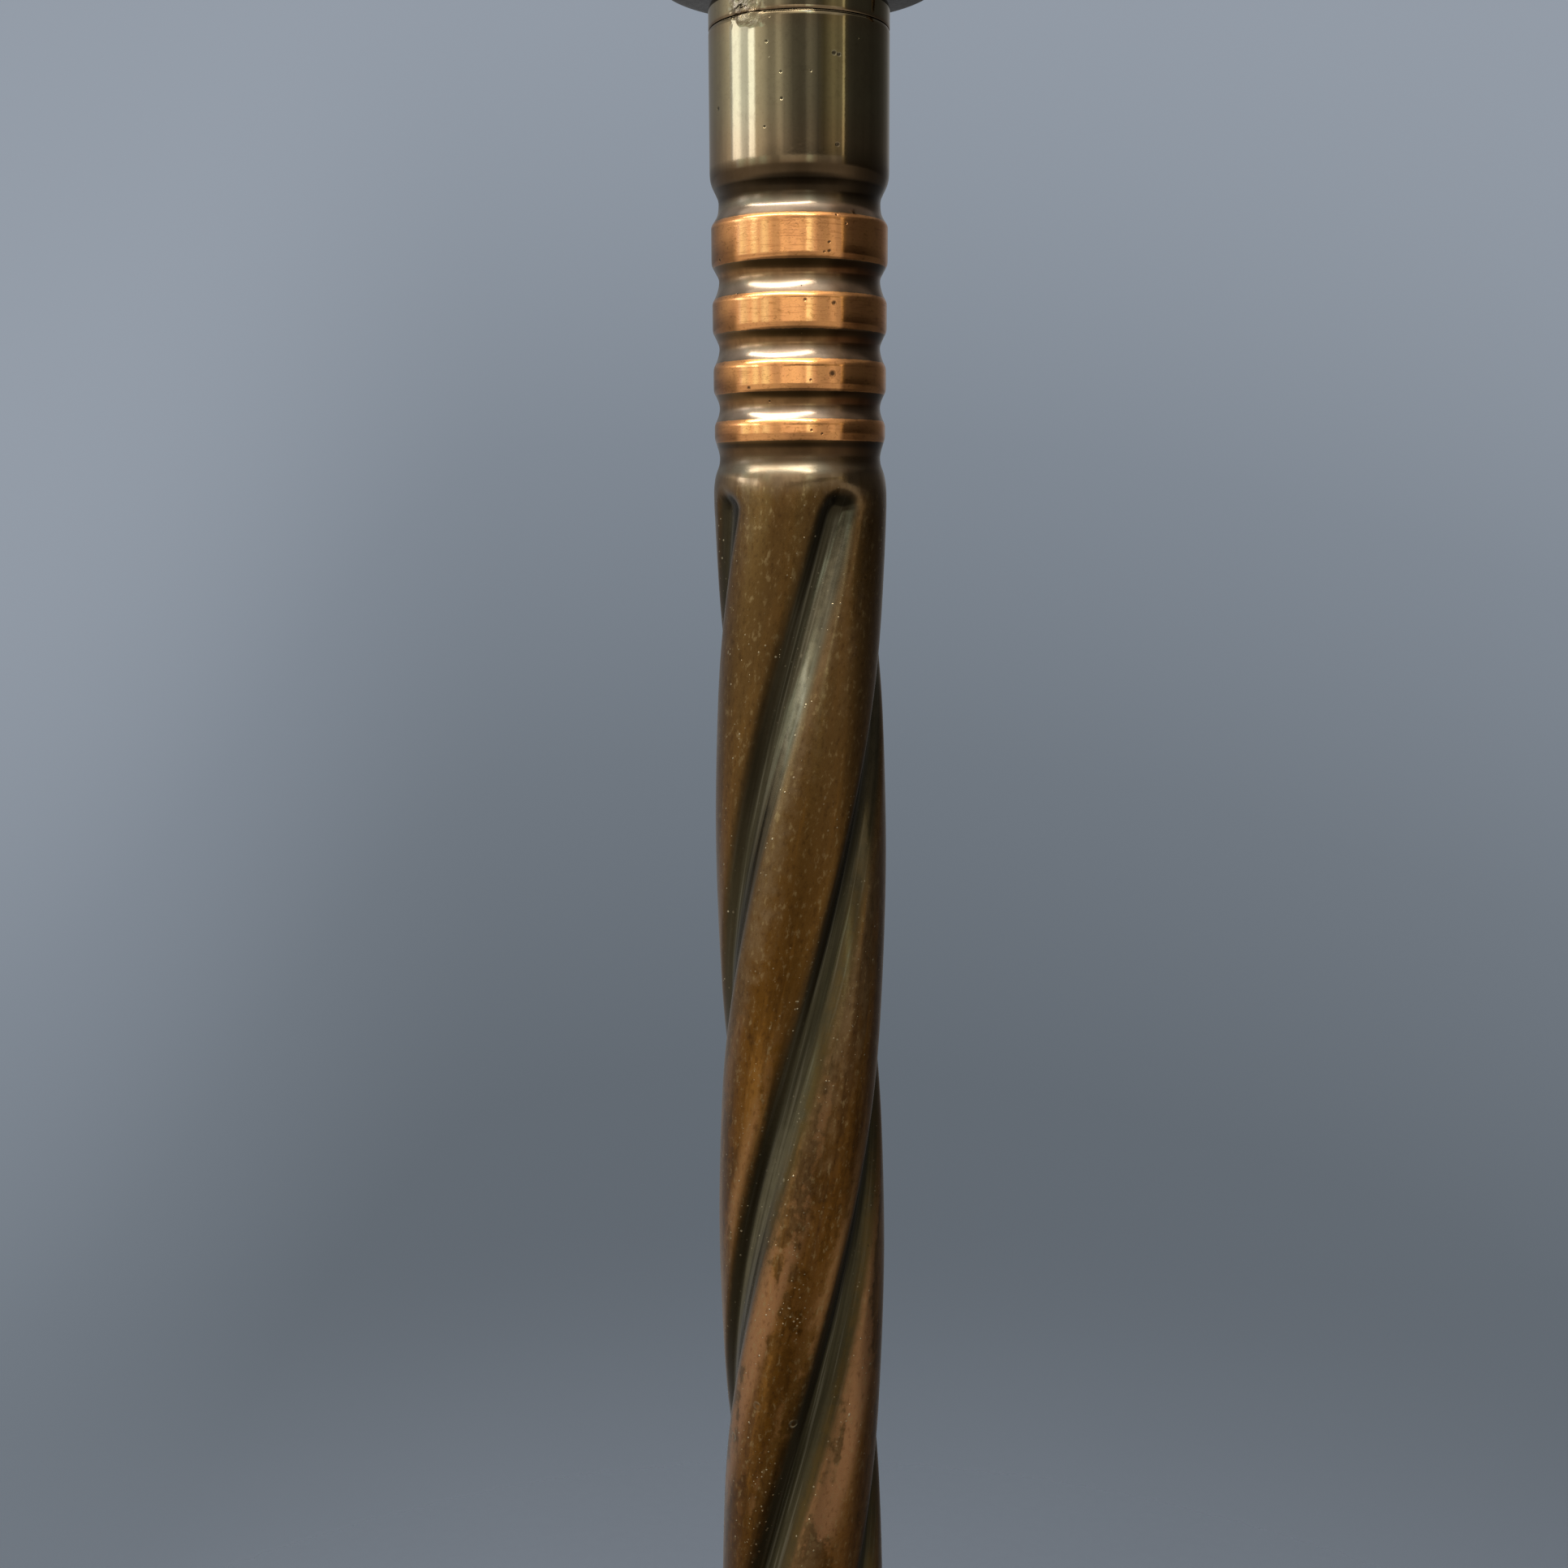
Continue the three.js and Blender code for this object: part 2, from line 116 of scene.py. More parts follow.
# a groove's section: flat floor, straight flanks, rounded lips; 0 is its middle and 1 its half width
_rho = np.linspace(0.0, 1.3, 261)
_slope = ease((_rho - 0.24) / 0.14) * ease((1.20 - _rho) / 0.50)
_section = 1.0 - np.cumsum(_slope) / np.sum(_slope)


def flute_shape(h, psi_deg):
    """Depth in mm under the tube's outline at a height and at an angle from a flute's middle, and how far inside the groove that is."""
    top, bottom = -0.8, FLUTE_END + 3.0
    rounded = ease((4.6 - h) / 7.5) * ease((h - FLUTE_END) / 11.0)
    land = LAND_DROP * np.maximum(0.0, 1.0 - np.sqrt(psi_deg**2 + 9.0) / 45.0) ** 1.7 * rounded
    past = np.maximum(h - top, 0.0) / 3.4 + np.maximum(bottom - h, 0.0) / 3.2
    rho = np.sqrt((psi_deg / np.where(psi_deg > 0, GROOVE_HALF * 1.32, GROOVE_HALF)) ** 2 + past**2)
    inside = np.interp(rho, _rho, _section)
    groove = (GROOVE_DEPTH + 0.030 * (1.0 - rounded)) * inside
    return TUBE_R * (land + groove), inside


def lumps(points_mm, scale, seed):
    """Perlin noise, about -1 to 1, at points in millimetres."""
    off = Vector((seed * 17.3, seed * 5.1, seed * 9.7))
    return np.array([noise.noise(Vector(p) * scale + off) for p in points_mm])


# ------------------------------------------------------------------------------------------------------------------
# Mesh helpers
# ------------------------------------------------------------------------------------------------------------------
def finish_mesh(me, sharp=38.0, flip_check=True):
    bm = bmesh.new()
    bm.from_mesh(me)
    bmesh.ops.remove_doubles(bm, verts=bm.verts, dist=2e-7)
    bmesh.ops.dissolve_degenerate(bm, edges=bm.edges, dist=1e-8)
    if flip_check:
        bmesh.ops.recalc_face_normals(bm, faces=bm.faces)
    bm.to_mesh(me)
    bm.free()
    me.polygons.foreach_set("use_smooth", np.ones(len(me.polygons), bool))
    me.set_sharp_from_angle(angle=math.radians(sharp))
    me.update()
    return me


def new_object(name, me):
    o = bpy.data.objects.new(name, me)
    scene.collection.objects.link(o)
    return o


def give(me, name, values):
    a = me.attributes.new(name, "FLOAT", "POINT")
    a.data.foreach_set("value", np.asarray(values, np.float32).ravel())


def give_vector(me, name, values):
    a = me.attributes.new(name, "FLOAT_VECTOR", "POINT")
    a.data.foreach_set("vector", np.asarray(values, np.float32).ravel())


def loop_grid(name, X, Y, Z, attrs=None, vectors=None, sharp=38.0):
    """A closed body from a grid of points that closes on itself both ways: rows are stations of the outline, columns go round."""
    rows, cols = X.shape
    co = np.stack([X, Y, Z], -1).reshape(-1, 3) * MM
    i = np.arange(rows)[:, None]
    j = np.arange(cols)[None, :]
    i2, j2 = (i + 1) % rows, (j + 1) % cols
    a = (i * cols + j).ravel()
    b = (i * cols + j2).ravel()
    c = (i2 * cols + j2).ravel()
    d = (i2 * cols + j).ravel()
    me = bpy.data.meshes.new(name)
    me.from_pydata(co.tolist(), [], np.stack([a, b, c, d], -1).tolist())
    for k, v in (attrs or {}).items():
        give(me, k, v)
    for k, v in (vectors or {}).items():
        give_vector(me, k, v)
    finish_mesh(me, sharp)
    return new_object(name, me)


def fillets(points, steps=5):
    """A closed outline of (r, z) or (r, z, fillet) points, with the marked corners rounded."""
    out = []
    n = len(points)
    for k, p in enumerate(points):
        rad = p[2] if len(p) > 2 else 0.0
        here = np.array(p[:2], float)
        if rad <= 0:
            out.append(tuple(here))
            continue
        before = np.array(points[k - 1][:2], float)
        after = np.array(points[(k + 1) % n][:2], float)
        u, v = before - here, after - here
        lu, lv = np.linalg.norm(u), np.linalg.norm(v)
        ru = min(rad, 0.49 * lu)
        rv = min(rad, 0.49 * lv)
        a, b = here + u / lu * ru, here + v / lv * rv
        for t in np.linspace(0, 1, steps + 1):
            out.append(tuple((1 - t) ** 2 * a + 2 * t * (1 - t) * here + t * t * b))
    return out


def refine(outline, longest):
    """The same closed outline with no side longer than that."""
    out = []
    n = len(outline)
    for k in range(n):
        a, b = np.array(outline[k], float), np.array(outline[(k + 1) % n], float)
        m = max(1, int(math.ceil(np.linalg.norm(b - a) / longest)))
        for t in range(m):
            out.append(tuple(a + (b - a) * t / m))
    return out


def turn(name, outline, segs=96, shape=None, attrs=None, sharp=38.0, axis="Z", centre=(0, 0, 0)):
    """A turned body from a closed outline. shape(r, z, angle) may change the radius, for ribs or threads."""
    pr = np.array(outline, float)
    ang = np.arange(segs) * 2 * math.pi / segs
    r = np.repeat(pr[:, :1], segs, 1)
    z = np.repeat(pr[:, 1:2], segs, 1)
    a = np.repeat(ang[None, :], len(pr), 0)
    if shape is not None:
        r = shape(r, z, a)
    X, Y, Z = r * np.cos(a), r * np.sin(a), z
    if axis == "X":
        X, Y, Z = z, r * np.cos(a), r * np.sin(a)
    if axis == "Y":
        X, Y, Z = r * np.cos(a), z, r * np.sin(a)
    X, Y, Z = X + centre[0], Y + centre[1], Z + centre[2]
    full = {k: np.repeat(np.asarray(v, float)[:, None], segs, 1) for k, v in (attrs or {}).items()}
    return loop_grid(name, X, Y, Z, full, sharp=sharp)


def take_shape(obj, other, operation):
    """Joins other to obj, or cuts it out of obj, for good."""
    mod = obj.modifiers.new("shape", "BOOLEAN")
    mod.operation, mod.object, mod.solver = operation, other, "EXACT"
    dg = bpy.context.evaluated_depsgraph_get()
    me = bpy.data.meshes.new_from_object(obj.evaluated_get(dg))
    obj.modifiers.clear()
    old = obj.data
    obj.data = me
    me.name = old.name
    bpy.data.meshes.remove(old)
    gone = other.data
    bpy.data.objects.remove(other)
    bpy.data.meshes.remove(gone)
    me.polygons.foreach_set("use_smooth", np.ones(len(me.polygons), bool))
    me.set_sharp_from_angle(angle=math.radians(34))
    me.update()
    return obj


def soften(obj, width, segments=2, angle=40.0):
    """Rounds the sharp edges of a small body."""
    mod = obj.modifiers.new("edges", "BEVEL")
    mod.width, mod.segments, mod.limit_method, mod.angle_limit = width * MM, segments, "ANGLE", math.radians(angle)
    mod.harden_normals = False
    dg = bpy.context.evaluated_depsgraph_get()
    me = bpy.data.meshes.new_from_object(obj.evaluated_get(dg))
    obj.modifiers.clear()
    old = obj.data
    obj.data = me
    bpy.data.meshes.remove(old)
    me.polygons.foreach_set("use_smooth", np.ones(len(me.polygons), bool))
    me.set_sharp_from_angle(angle=math.radians(34))
    me.update()
    return obj


def slab(name, outline, low, high, plane="XZ", sharp=34.0):
    """A flat body from a closed 2D outline, pushed between two values of the third axis."""
    me = bpy.data.meshes.new(name)
    bm = bmesh.new()
    n = len(outline)

    def at(p, t):
        if plane == "XZ":
            return Vector((p[0], t, p[1])) * MM
        if plane == "XY":
            return Vector((p[0], p[1], t)) * MM
        return Vector((t, p[0], p[1])) * MM

    lo = [bm.verts.new(at(p, low)) for p in outline]
    hi = [bm.verts.new(at(p, high)) for p in outline]
    bm.faces.new(lo)
    bm.faces.new(hi)
    for k in range(n):
        bm.faces.new((lo[k], lo[(k + 1) % n], hi[(k + 1) % n], hi[k]))
    bmesh.ops.recalc_face_normals(bm, faces=bm.faces)
    bm.to_mesh(me)
    bm.free()
    me.polygons.foreach_set("use_smooth", np.ones(len(me.polygons), bool))
    me.set_sharp_from_angle(angle=math.radians(sharp))
    return new_object(name, me)


def stand_in(obj, body, slot, *replaced):
    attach(obj, body)
    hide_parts(*replaced)
    return obj


# ------------------------------------------------------------------------------------------------------------------
# Shader helpers
# ------------------------------------------------------------------------------------------------------------------
class Shade:
    """Short names for the nodes of one material."""

    def __init__(self, name):
        self.mat = bpy.data.materials.new(name)
        self.mat.use_nodes = True
        self.tree = self.mat.node_tree
        self.tree.nodes.clear()
        self.out = self.tree.nodes.new("ShaderNodeOutputMaterial")
        self.bsdf = self.tree.nodes.new("ShaderNodeBsdfPrincipled")
        self.tree.links.new(self.bsdf.outputs["BSDF"], self.out.inputs["Surface"])
        self._object = None

    def put(self, socket, value):
        if isinstance(value, bpy.types.NodeSocket):
            self.tree.links.new(value, socket)
        elif isinstance(value, (tuple, list)) and socket.type == "RGBA" and len(value) == 3:
            socket.default_value = (*value, 1.0)
        else:
            socket.default_value = value

    def set(self, **inputs):
        for k, v in inputs.items():
            self.put(self.bsdf.inputs[k.replace("_", " ")], v)
        return self

    def place(self):
        if self._object is None:
            self._object = self.tree.nodes.new("ShaderNodeTexCoord").outputs["Object"]
        return self._object

    def attr(self, name, vector=False):
        n = self.tree.nodes.new("ShaderNodeAttribute")
        n.attribute_type, n.attribute_name = "GEOMETRY", name
        return n.outputs["Vector" if vector else "Fac"]

    def math(self, op, a, b=0.5, c=0.5, clamp=False):
        n = self.tree.nodes.new("ShaderNodeMath")
        n.operation, n.use_clamp = op, clamp
        self.put(n.inputs[0], a)
        self.put(n.inputs[1], b)
        self.put(n.inputs[2], c)
        return n.outputs[0]

    def add(self, a, b):
        return self.math("ADD", a, b)

    def mul(self, a, b):
        return self.math("MULTIPLY", a, b)

    def ramp(self, value, low, high, to_low=0.0, to_high=1.0):
        n = self.tree.nodes.new("ShaderNodeMapRange")
        n.interpolation_type, n.clamp = "SMOOTHSTEP", True
        for k, v in zip(("Value", "From Min", "From Max", "To Min", "To Max"), (value, low, high, to_low, to_high)):
            self.put(n.inputs[k], v)
        return n.outputs["Result"]

    def line(self, value, low, high, to_low=0.0, to_high=1.0):
        n = self.tree.nodes.new("ShaderNodeMapRange")
        n.interpolation_type, n.clamp = "LINEAR", True
        for k, v in zip(("Value", "From Min", "From Max", "To Min", "To Max"), (value, low, high, to_low, to_high)):
            self.put(n.inputs[k], v)
        return n.outputs["Result"]

    def mix(self, fac, a, b, blend="MIX"):
        n = self.tree.nodes.new("ShaderNodeMix")
        n.data_type, n.blend_type = "RGBA", blend
        self.put(n.inputs[0], fac)
        self.put(n.inputs[6], a)
        self.put(n.inputs[7], b)
        return n.outputs[2]

    def blend(self, fac, a, b):
        n = self.tree.nodes.new("ShaderNodeMix")
        n.data_type = "FLOAT"
        self.put(n.inputs[0], fac)
        self.put(n.inputs[2], a)
        self.put(n.inputs[3], b)
        return n.outputs[0]

    def stretch(self, vec, x, y, z):
        n = self.tree.nodes.new("ShaderNodeVectorMath")
        n.operation = "MULTIPLY"
        self.put(n.inputs[0], vec)
        n.inputs[1].default_value = (x, y, z)
        return n.outputs[0]

    def shift(self, vec, x, y, z):
        n = self.tree.nodes.new("ShaderNodeVectorMath")
        n.operation = "ADD"
        self.put(n.inputs[0], vec)
        n.inputs[1].default_value = (x, y, z)
        return n.outputs[0]

    def noise(self, vec, scale, detail=3.0, rough=0.55, lacunarity=2.0, distortion=0.0):
        n = self.tree.nodes.new("ShaderNodeTexNoise")
        self.put(n.inputs["Vector"], vec)
        for k, v in (("Scale", scale), ("Detail", detail), ("Roughness", rough), ("Lacunarity", lacunarity), ("Distortion", distortion)):
            n.inputs[k].default_value = v
        return n.outputs["Fac"]

    def cells(self, vec, scale, feature="F1", randomness=1.0, want="Distance"):
        n = self.tree.nodes.new("ShaderNodeTexVoronoi")
        n.feature = feature
        self.put(n.inputs["Vector"], vec)
        n.inputs["Scale"].default_value = scale
        n.inputs["Randomness"].default_value = randomness
        return n.outputs[want]

    def bump(self, height, strength, distance, normal=None):
        n = self.tree.nodes.new("ShaderNodeBump")
        n.inputs["Strength"].default_value = strength
        n.inputs["Distance"].default_value = distance
        self.put(n.inputs["Height"], height)
        if normal is not None:
            self.put(n.inputs["Normal"], normal)
        return n.outputs["Normal"]

    def split(self, vec):
        n = self.tree.nodes.new("ShaderNodeSeparateXYZ")
        self.put(n.inputs[0], vec)
        return n.outputs


def spots(s, vec, scale, size, share, seed):
    """Scattered round marks: 1 in a mark. size is the mark's radius as a share of a cell, share how many cells have one."""
    moved = s.shift(vec, seed * 0.113, seed * 0.071, seed * 0.057)
    dist = s.cells(moved, scale)
    pick = s.split(s.cells(moved, scale, want="Color"))[0]
    here = s.math("LESS_THAN", pick, share)
    grow = s.line(pick, 0.0, share, 0.35, 1.0)
    return s.mul(s.ramp(dist, s.mul(grow, size), s.mul(grow, size * 0.55)), here)


# ------------------------------------------------------------------------------------------------------------------
# Finishes
# ------------------------------------------------------------------------------------------------------------------
def marks(s, vec, points, radius, soft=0.5, flat=1.0):
    """Single marks at given places in mm: 1 inside a mark. Each point may bring its own radius."""
    total = None
    for p in points:
        r = (p[3] if len(p) > 3 else radius) * MM
        n = s.tree.nodes.new("ShaderNodeVectorMath")
        n.operation = "DISTANCE"
        s.put(n.inputs[0], s.stretch(vec, 1.0, 1.0, flat))
        n.inputs[1].default_value = (p[0] * MM, p[1] * MM, p[2] * MM * flat)
        one = s.ramp(n.outputs["Value"], r, r * (1.0 - soft))
        total = one if total is None else s.math("MAXIMUM", total, one)
    return total


# small blemishes of the front, mm: place and radius
COLLAR_PITS = [
    (-4.44, -11.69, 340.63, 0.34), (-2.53, -12.24, 336.72, 0.30), (1.43, -12.42, 336.77, 0.24), (-2.43, -12.26, 333.34, 0.32),
    (-4.71, -11.58, 329.89, 0.26), (4.99, -11.46, 327.60, 0.42), (4.55, -11.64, 339.18, 0.44), (5.20, -11.37, 339.04, 0.38), (-11.01, -5.91, 333.35, 0.40),
]
RING_PITS = [
    (3.90, -11.74, 315.03, 0.30), (3.90, -11.74, 313.88, 0.34), (3.24, -11.94, 313.75, 0.26), (4.89, -11.36, 318.65, 0.26), (6.21, -10.70, 317.59, 0.22),
    (0.62, -12.27, 307.49, 0.30), (4.56, -11.41, 307.15, 0.42), (4.35, -11.46, 297.84, 0.62), (-7.12, -9.98, 296.04, 0.42), (1.37, -12.18, 296.95, 0.24),
    (1.47, -12.01, 290.28, 0.22),
]
BLISTERS = [(-6.67, -10.22, 148.32), (-1.39, -11.62, 145.97), (-10.31, -6.52, 141.33), (-10.17, -6.73, 231.77), (7.4, 9.1, 170.0), (-8.0, 8.3, 205.0), (10.4, -5.2, 118.0)]


def rubbed_copper():
    """The stem: an old bronze patina under lacquer, polished through to copper on the rings and worn on the lands."""
    s = Shade("rubbed_copper_stem")
    place = s.place()
    wear = s.attr("wear")
    hollow = s.attr("hollow")
    groove = s.attr("groove")
    fluted = s.attr("fluted")
    under = s.attr("under")
    low = s.attr("low")
    ringed = s.attr("ringed")
    lump = s.attr("lump")
    lean = s.attr("lean", True)  # place with half of the twist taken out
    along = s.attr("along", True)  # place with all of the twist taken out

    # broad and fine variation
    cloud = s.noise(place, 70.0, 4.0, 0.6)
    mottle = s.noise(place, 420.0, 4.0, 0.62)
    fine = s.noise(place, 900.0, 3.0, 0.6)
    grain = s.noise(place, 3000.0, 2.0, 0.55)
    crumb = s.noise(s.stretch(lean, 1.0, 1.0, 0.55), 1300.0, 3.0, 0.65)
    streak = s.noise(s.stretch(lean, 1.0, 1.0, 0.06), 420.0, 4.0, 0.62)
    streak_wide = s.noise(s.stretch(lean, 1.0, 1.0, 0.10), 150.0, 3.0, 0.55)
    flow = s.noise(s.stretch(along, 1.0, 1.0, 0.03), 900.0, 3.0, 0.6)
    drawn = s.noise(s.stretch(place, 1.0, 1.0, 0.05), 700.0, 3.0, 0.6)

    # plain collar: olive bronze, drawn lengthwise, warmer towards its lower edge
    olive = s.mix(s.ramp(cloud, 0.35, 0.65), (0.298, 0.242, 0.132), (0.262, 0.210, 0.114))
    olive = s.mix(s.ramp(drawn, 0.46, 0.74, 0.0, 0.40), olive, (0.222, 0.172, 0.090))
    olive = s.mix(s.ramp(mottle, 0.52, 0.74, 0.0, 0.34), olive, (0.195, 0.150, 0.082))
    olive = s.mix(s.ramp(fine, 0.30, 0.46, 0.30, 0.0), olive, (0.195, 0.152, 0.084))
    brown = s.attr("brown")
    warm = s.mix(s.ramp(drawn, 0.40, 0.66), (0.290, 0.186, 0.096), (0.230, 0.142, 0.070))
    olive = s.mix(s.mul(brown, s.ramp(cloud, 0.2, 0.7, 0.72, 1.0)), olive, warm)
    # painted shade: the collar's lower band is darker, except where the panels on the left light it
    olive = s.mix(s.mul(s.attr("collar_foot_shade"), 0.52), olive, (0.105, 0.074, 0.036))

    # rolled grooves between the rings: olive above a ring, brown under one
    between = s.mix(s.ramp(cloud, 0.35, 0.65), (0.225, 0.182, 0.118), (0.185, 0.144, 0.090))
    between = s.mix(s.ramp(mottle, 0.48, 0.70, 0.0, 0.45), between, (0.180, 0.112, 0.062))
    flank = s.attr("flank")
    rust = s.mix(s.ramp(s.add(mottle, s.mul(drawn, 0.5)), 0.60, 0.90), (0.330, 0.165, 0.060), (0.250, 0.120, 0.040))
    # painted shade: the brown flank under each ring is darker on the side away from the light
    rust = s.mix(s.attr("shady"), rust, s.mix(1.0, rust, (0.42, 0.36, 0.30), "MULTIPLY"))
    between = s.mix(flank, between, rust)
    # bared metal just above each ring, lightened further as a painted highlight of the overhead light
    between = s.mix(s.mul(s.attr("bare_and_sheen"), s.ramp(mottle, 0.36, 0.62, 0.90, 0.60)), between, (0.360, 0.255, 0.175))
    # painted shade: the rolled grooves are darker on the side away from the light
    between = s.mix(s.attr("shady"), between, s.mix(1.0, between, (0.88, 0.74, 0.62), "MULTIPLY"))

    # polished rings
    brush = s.noise(s.stretch(place, 0.05, 0.05, 1.0), 3600.0, 2.0, 0.6)
    patch = s.noise(s.stretch(place, 1.0, 1.0, 0.6), 330.0, 3.0, 0.6)
    nick = s.noise(s.stretch(place, 0.55, 0.55, 1.0), 1900.0, 3.0, 0.7, distortion=1.4)
    copper = s.mix(s.ramp(patch, 0.36, 0.66), (0.930, 0.418, 0.136), (0.850, 0.368, 0.128))
    copper = s.mix(s.mul(s.ramp(brush, 0.52, 0.70, 0.0, 0.60), s.ramp(patch, 0.40, 0.60, 0.30, 1.0)), copper, (0.520, 0.205, 0.058))
    copper = s.mix(s.ramp(nick, 0.55, 0.66, 0.0, 0.60), copper, (0.480, 0.200, 0.052))
    copper = s.mix(s.ramp(fine, 0.60, 0.76, 0.0, 0.30), copper, (0.460, 0.205, 0.058))
    # painted shade: the polished rings darken towards their ends, where they turn away from the light, most of all on
    # the right
    copper = s.mix(s.attr("ring_end_shade"), copper, s.mix(1.0, copper, (0.26, 0.23, 0.19), "MULTIPLY"))

    # lands of the flutes: a tan film on each land's left side and deep brown copper on its right, laid on as painted
    # light and shade across the rounded land; worn patches low down
    uneven = s.add(s.mul(s.add(streak_wide, -0.5), 0.9), s.add(s.mul(s.add(mottle, -0.5), 0.9), s.mul(s.add(streak, -0.5), 0.5)))
    # painted light and shade: each land is lighter on its left side and darker on its right
    turned = s.ramp(s.add(s.attr("across"), uneven), -0.08, 0.66)
    tan = s.mix(s.ramp(s.add(s.mul(cloud, 0.5), s.mul(mottle, 0.5)), 0.40, 0.60), (0.214, 0.130, 0.057), (0.186, 0.113, 0.049))
    tan = s.mix(s.ramp(low, 0.25, 0.60, 0.0, 0.75), tan, (0.240, 0.128, 0.046))
    umber = s.mix(s.ramp(low, 0.12, 0.5), (0.136, 0.069, 0.018), (0.150, 0.058, 0.004))
    land = s.mix(turned, tan, umber)
    amber = s.noise(s.stretch(s.shift(lean, 0.11, 0.31, 0.2), 1.0, 1.0, 0.09), 190.0, 4.0, 0.62)
    land = s.mix(s.mul(s.ramp(amber, 0.50, 0.64), s.ramp(low, 0.12, 0.45, 0.12, 0.80)), land, (0.300, 0.128, 0.020))
    dark_streak = s.ramp(s.noise(s.stretch(s.shift(lean, 0.031, 0.017, 0.4), 1.0, 1.0, 0.06), 230.0, 4.0, 0.62), 0.53, 0.70)
    land = s.mix(s.mul(dark_streak, s.ramp(low, 0.2, 0.6, 0.50, 0.78)), land, (0.070, 0.028, 0.004))
    worn_at = s.add(s.noise(s.stretch(s.shift(lean, 0.21, 0.05, 0.13), 1.0, 1.0, 0.22), 80.0, 4.0, 0.60), s.mul(s.add(mottle, -0.5), 0.22))
    rubbed = s.mul(s.ramp(worn_at, 0.500, 0.560), s.ramp(low, 0.28, 0.80, 0.04, 1.0))
    land = s.mix(s.mul(rubbed, s.mul(0.85, s.attr("face"))), land, (0.400, 0.190, 0.078))
    # a darker rim round the worn patches, and short cracks in the film
    rim = s.mul(s.mul(s.ramp(worn_at, 0.440, 0.490), s.ramp(worn_at, 0.535, 0.505)), s.ramp(low, 0.22, 0.60))
    land = s.mix(s.mul(rim, 0.38), land, (0.062, 0.024, 0.004))
    torn = s.math("ABSOLUTE", s.add(s.noise(s.stretch(s.shift(lean, 0.17, 0.23, 0.31), 1.0, 1.0, 0.20), 120.0, 5.0, 0.68), -0.5))
    torn = s.mul(s.ramp(torn, 0.022, 0.004), s.mul(s.mul(s.ramp(worn_at, 0.40, 0.47), s.ramp(worn_at, 0.56, 0.50)), s.ramp(low, 0.15, 0.55, 0.10, 1.0)))
    land = s.mix(s.mul(torn, 0.30), land, (0.048, 0.018, 0.003))
    lip = s.attr("lip")  # the land's edge on the left of a flute
    lip_worn = s.mul(s.mul(lip, s.ramp(low, 0.38, 0.62)), s.ramp(s.add(s.noise(s.stretch(s.shift(lean, 0.41, 0.15, 0.07), 1.0, 1.0, 0.30), 130.0, 4.0, 0.65), s.mul(s.add(mottle, -0.5), 0.3)), 0.47, 0.55))
    land = s.mix(s.mul(lip_worn, 0.85), land, (0.430, 0.205, 0.075))
    land = s.mix(s.mul(lip, s.ramp(s.add(flow, s.mul(s.add(mottle, -0.5), 0.5)), 0.34, 0.62, 0.05, 0.45)), land, (0.220, 0.105, 0.022))
    land = s.mix(s.ramp(crumb, 0.30, 0.47, 0.55, 0.0), land, s.mix(1.0, land, (0.50, 0.44, 0.36), "MULTIPLY"))
    land = s.mix(s.ramp(crumb, 0.55, 0.72, 0.0, 0.50), land, (0.360, 0.240, 0.100))

    # flutes: dark olive with fine lines along them; painted shade, near black, on each groove's left flank and at its
    # upper end
    deep = s.mix(s.ramp(flow, 0.38, 0.64), (0.094, 0.078, 0.044), (0.062, 0.050, 0.026))
    deep = s.mix(s.ramp(low, 0.10, 0.45, 0.0, 0.55), deep, (0.044, 0.035, 0.011))
    deep = s.mix(s.ramp(fine, 0.52, 0.72, 0.0, 0.4), deep, (0.046, 0.036, 0.018))

    dust = s.mul(s.attr("dust"), s.ramp(s.add(s.mul(flow, 0.5), s.mul(mottle, 0.5)), 0.34, 0.58, 0.55, 0.95))
    deep = s.mix(dust, deep, (0.150, 0.127, 0.072))
    lines = s.noise(s.stretch(s.shift(along, 0.3, 0.6, 0.1), 1.0, 1.0, 0.02), 2100.0, 2.0, 0.5)
    deep = s.mix(s.ramp(lines, 0.54, 0.66, 0.0, 0.62), deep, (0.165, 0.142, 0.090))
    deep = s.mix(s.ramp(lines, 0.46, 0.36, 0.0, 0.45), deep, (0.034, 0.027, 0.012))

    # put together
    colour = s.mix(s.mul(ringed, s.ramp(hollow, 0.02, 0.50)), olive, between)
    # painted shade: near black in the groove under the collar and the groove above the shoulder
    colour = s.mix(s.mul(s.attr("recess_shade"), s.ramp(cloud, 0.3, 0.7, 0.80, 1.0)), colour, (0.085, 0.048, 0.020))
    # under each ring, under the collar and under the top sleeve's rim: patina, darkened further as painted shade where
    # the surface faces down
    dirt = s.mul(under, s.ramp(s.add(mottle, s.mul(cloud, 0.5)), 0.45, 0.95, 1.0, 0.84))
    colour = s.mix(dirt, colour, s.mix(s.attr("recess_shade"), s.mix(s.attr("shady"), (0.110, 0.058, 0.016), (0.044, 0.022, 0.006)), (0.018, 0.010, 0.003)))
    edge = s.add(wear, s.add(s.mul(s.add(fine, -0.5), 0.45), s.mul(s.add(mottle, -0.5), 0.30)))
    polished = s.ramp(edge, 0.44, 0.56)
    colour = s.mix(polished, colour, copper)
    groove_edge = s.add(groove, s.mul(s.add(flow, -0.5), 0.16))
    in_groove = s.ramp(groove_edge, 0.10, 0.50)
    fluted_colour = s.mix(in_groove, land, deep)
    crest_sheen = s.attr("crest_sheen")  # the flank on a flute's right: thin patina, lightened further as a painted highlight where the light catches it
    silver_sheen = s.mix(s.ramp(low, 0.14, 0.36), (0.225, 0.182, 0.105), (0.110, 0.066, 0.018))
    fluted_colour = s.mix(s.mul(crest_sheen, s.ramp(s.add(s.mul(mottle, 0.6), s.mul(flow, 0.4)), 0.36, 0.60, 0.25, 0.85)), fluted_colour, silver_sheen)
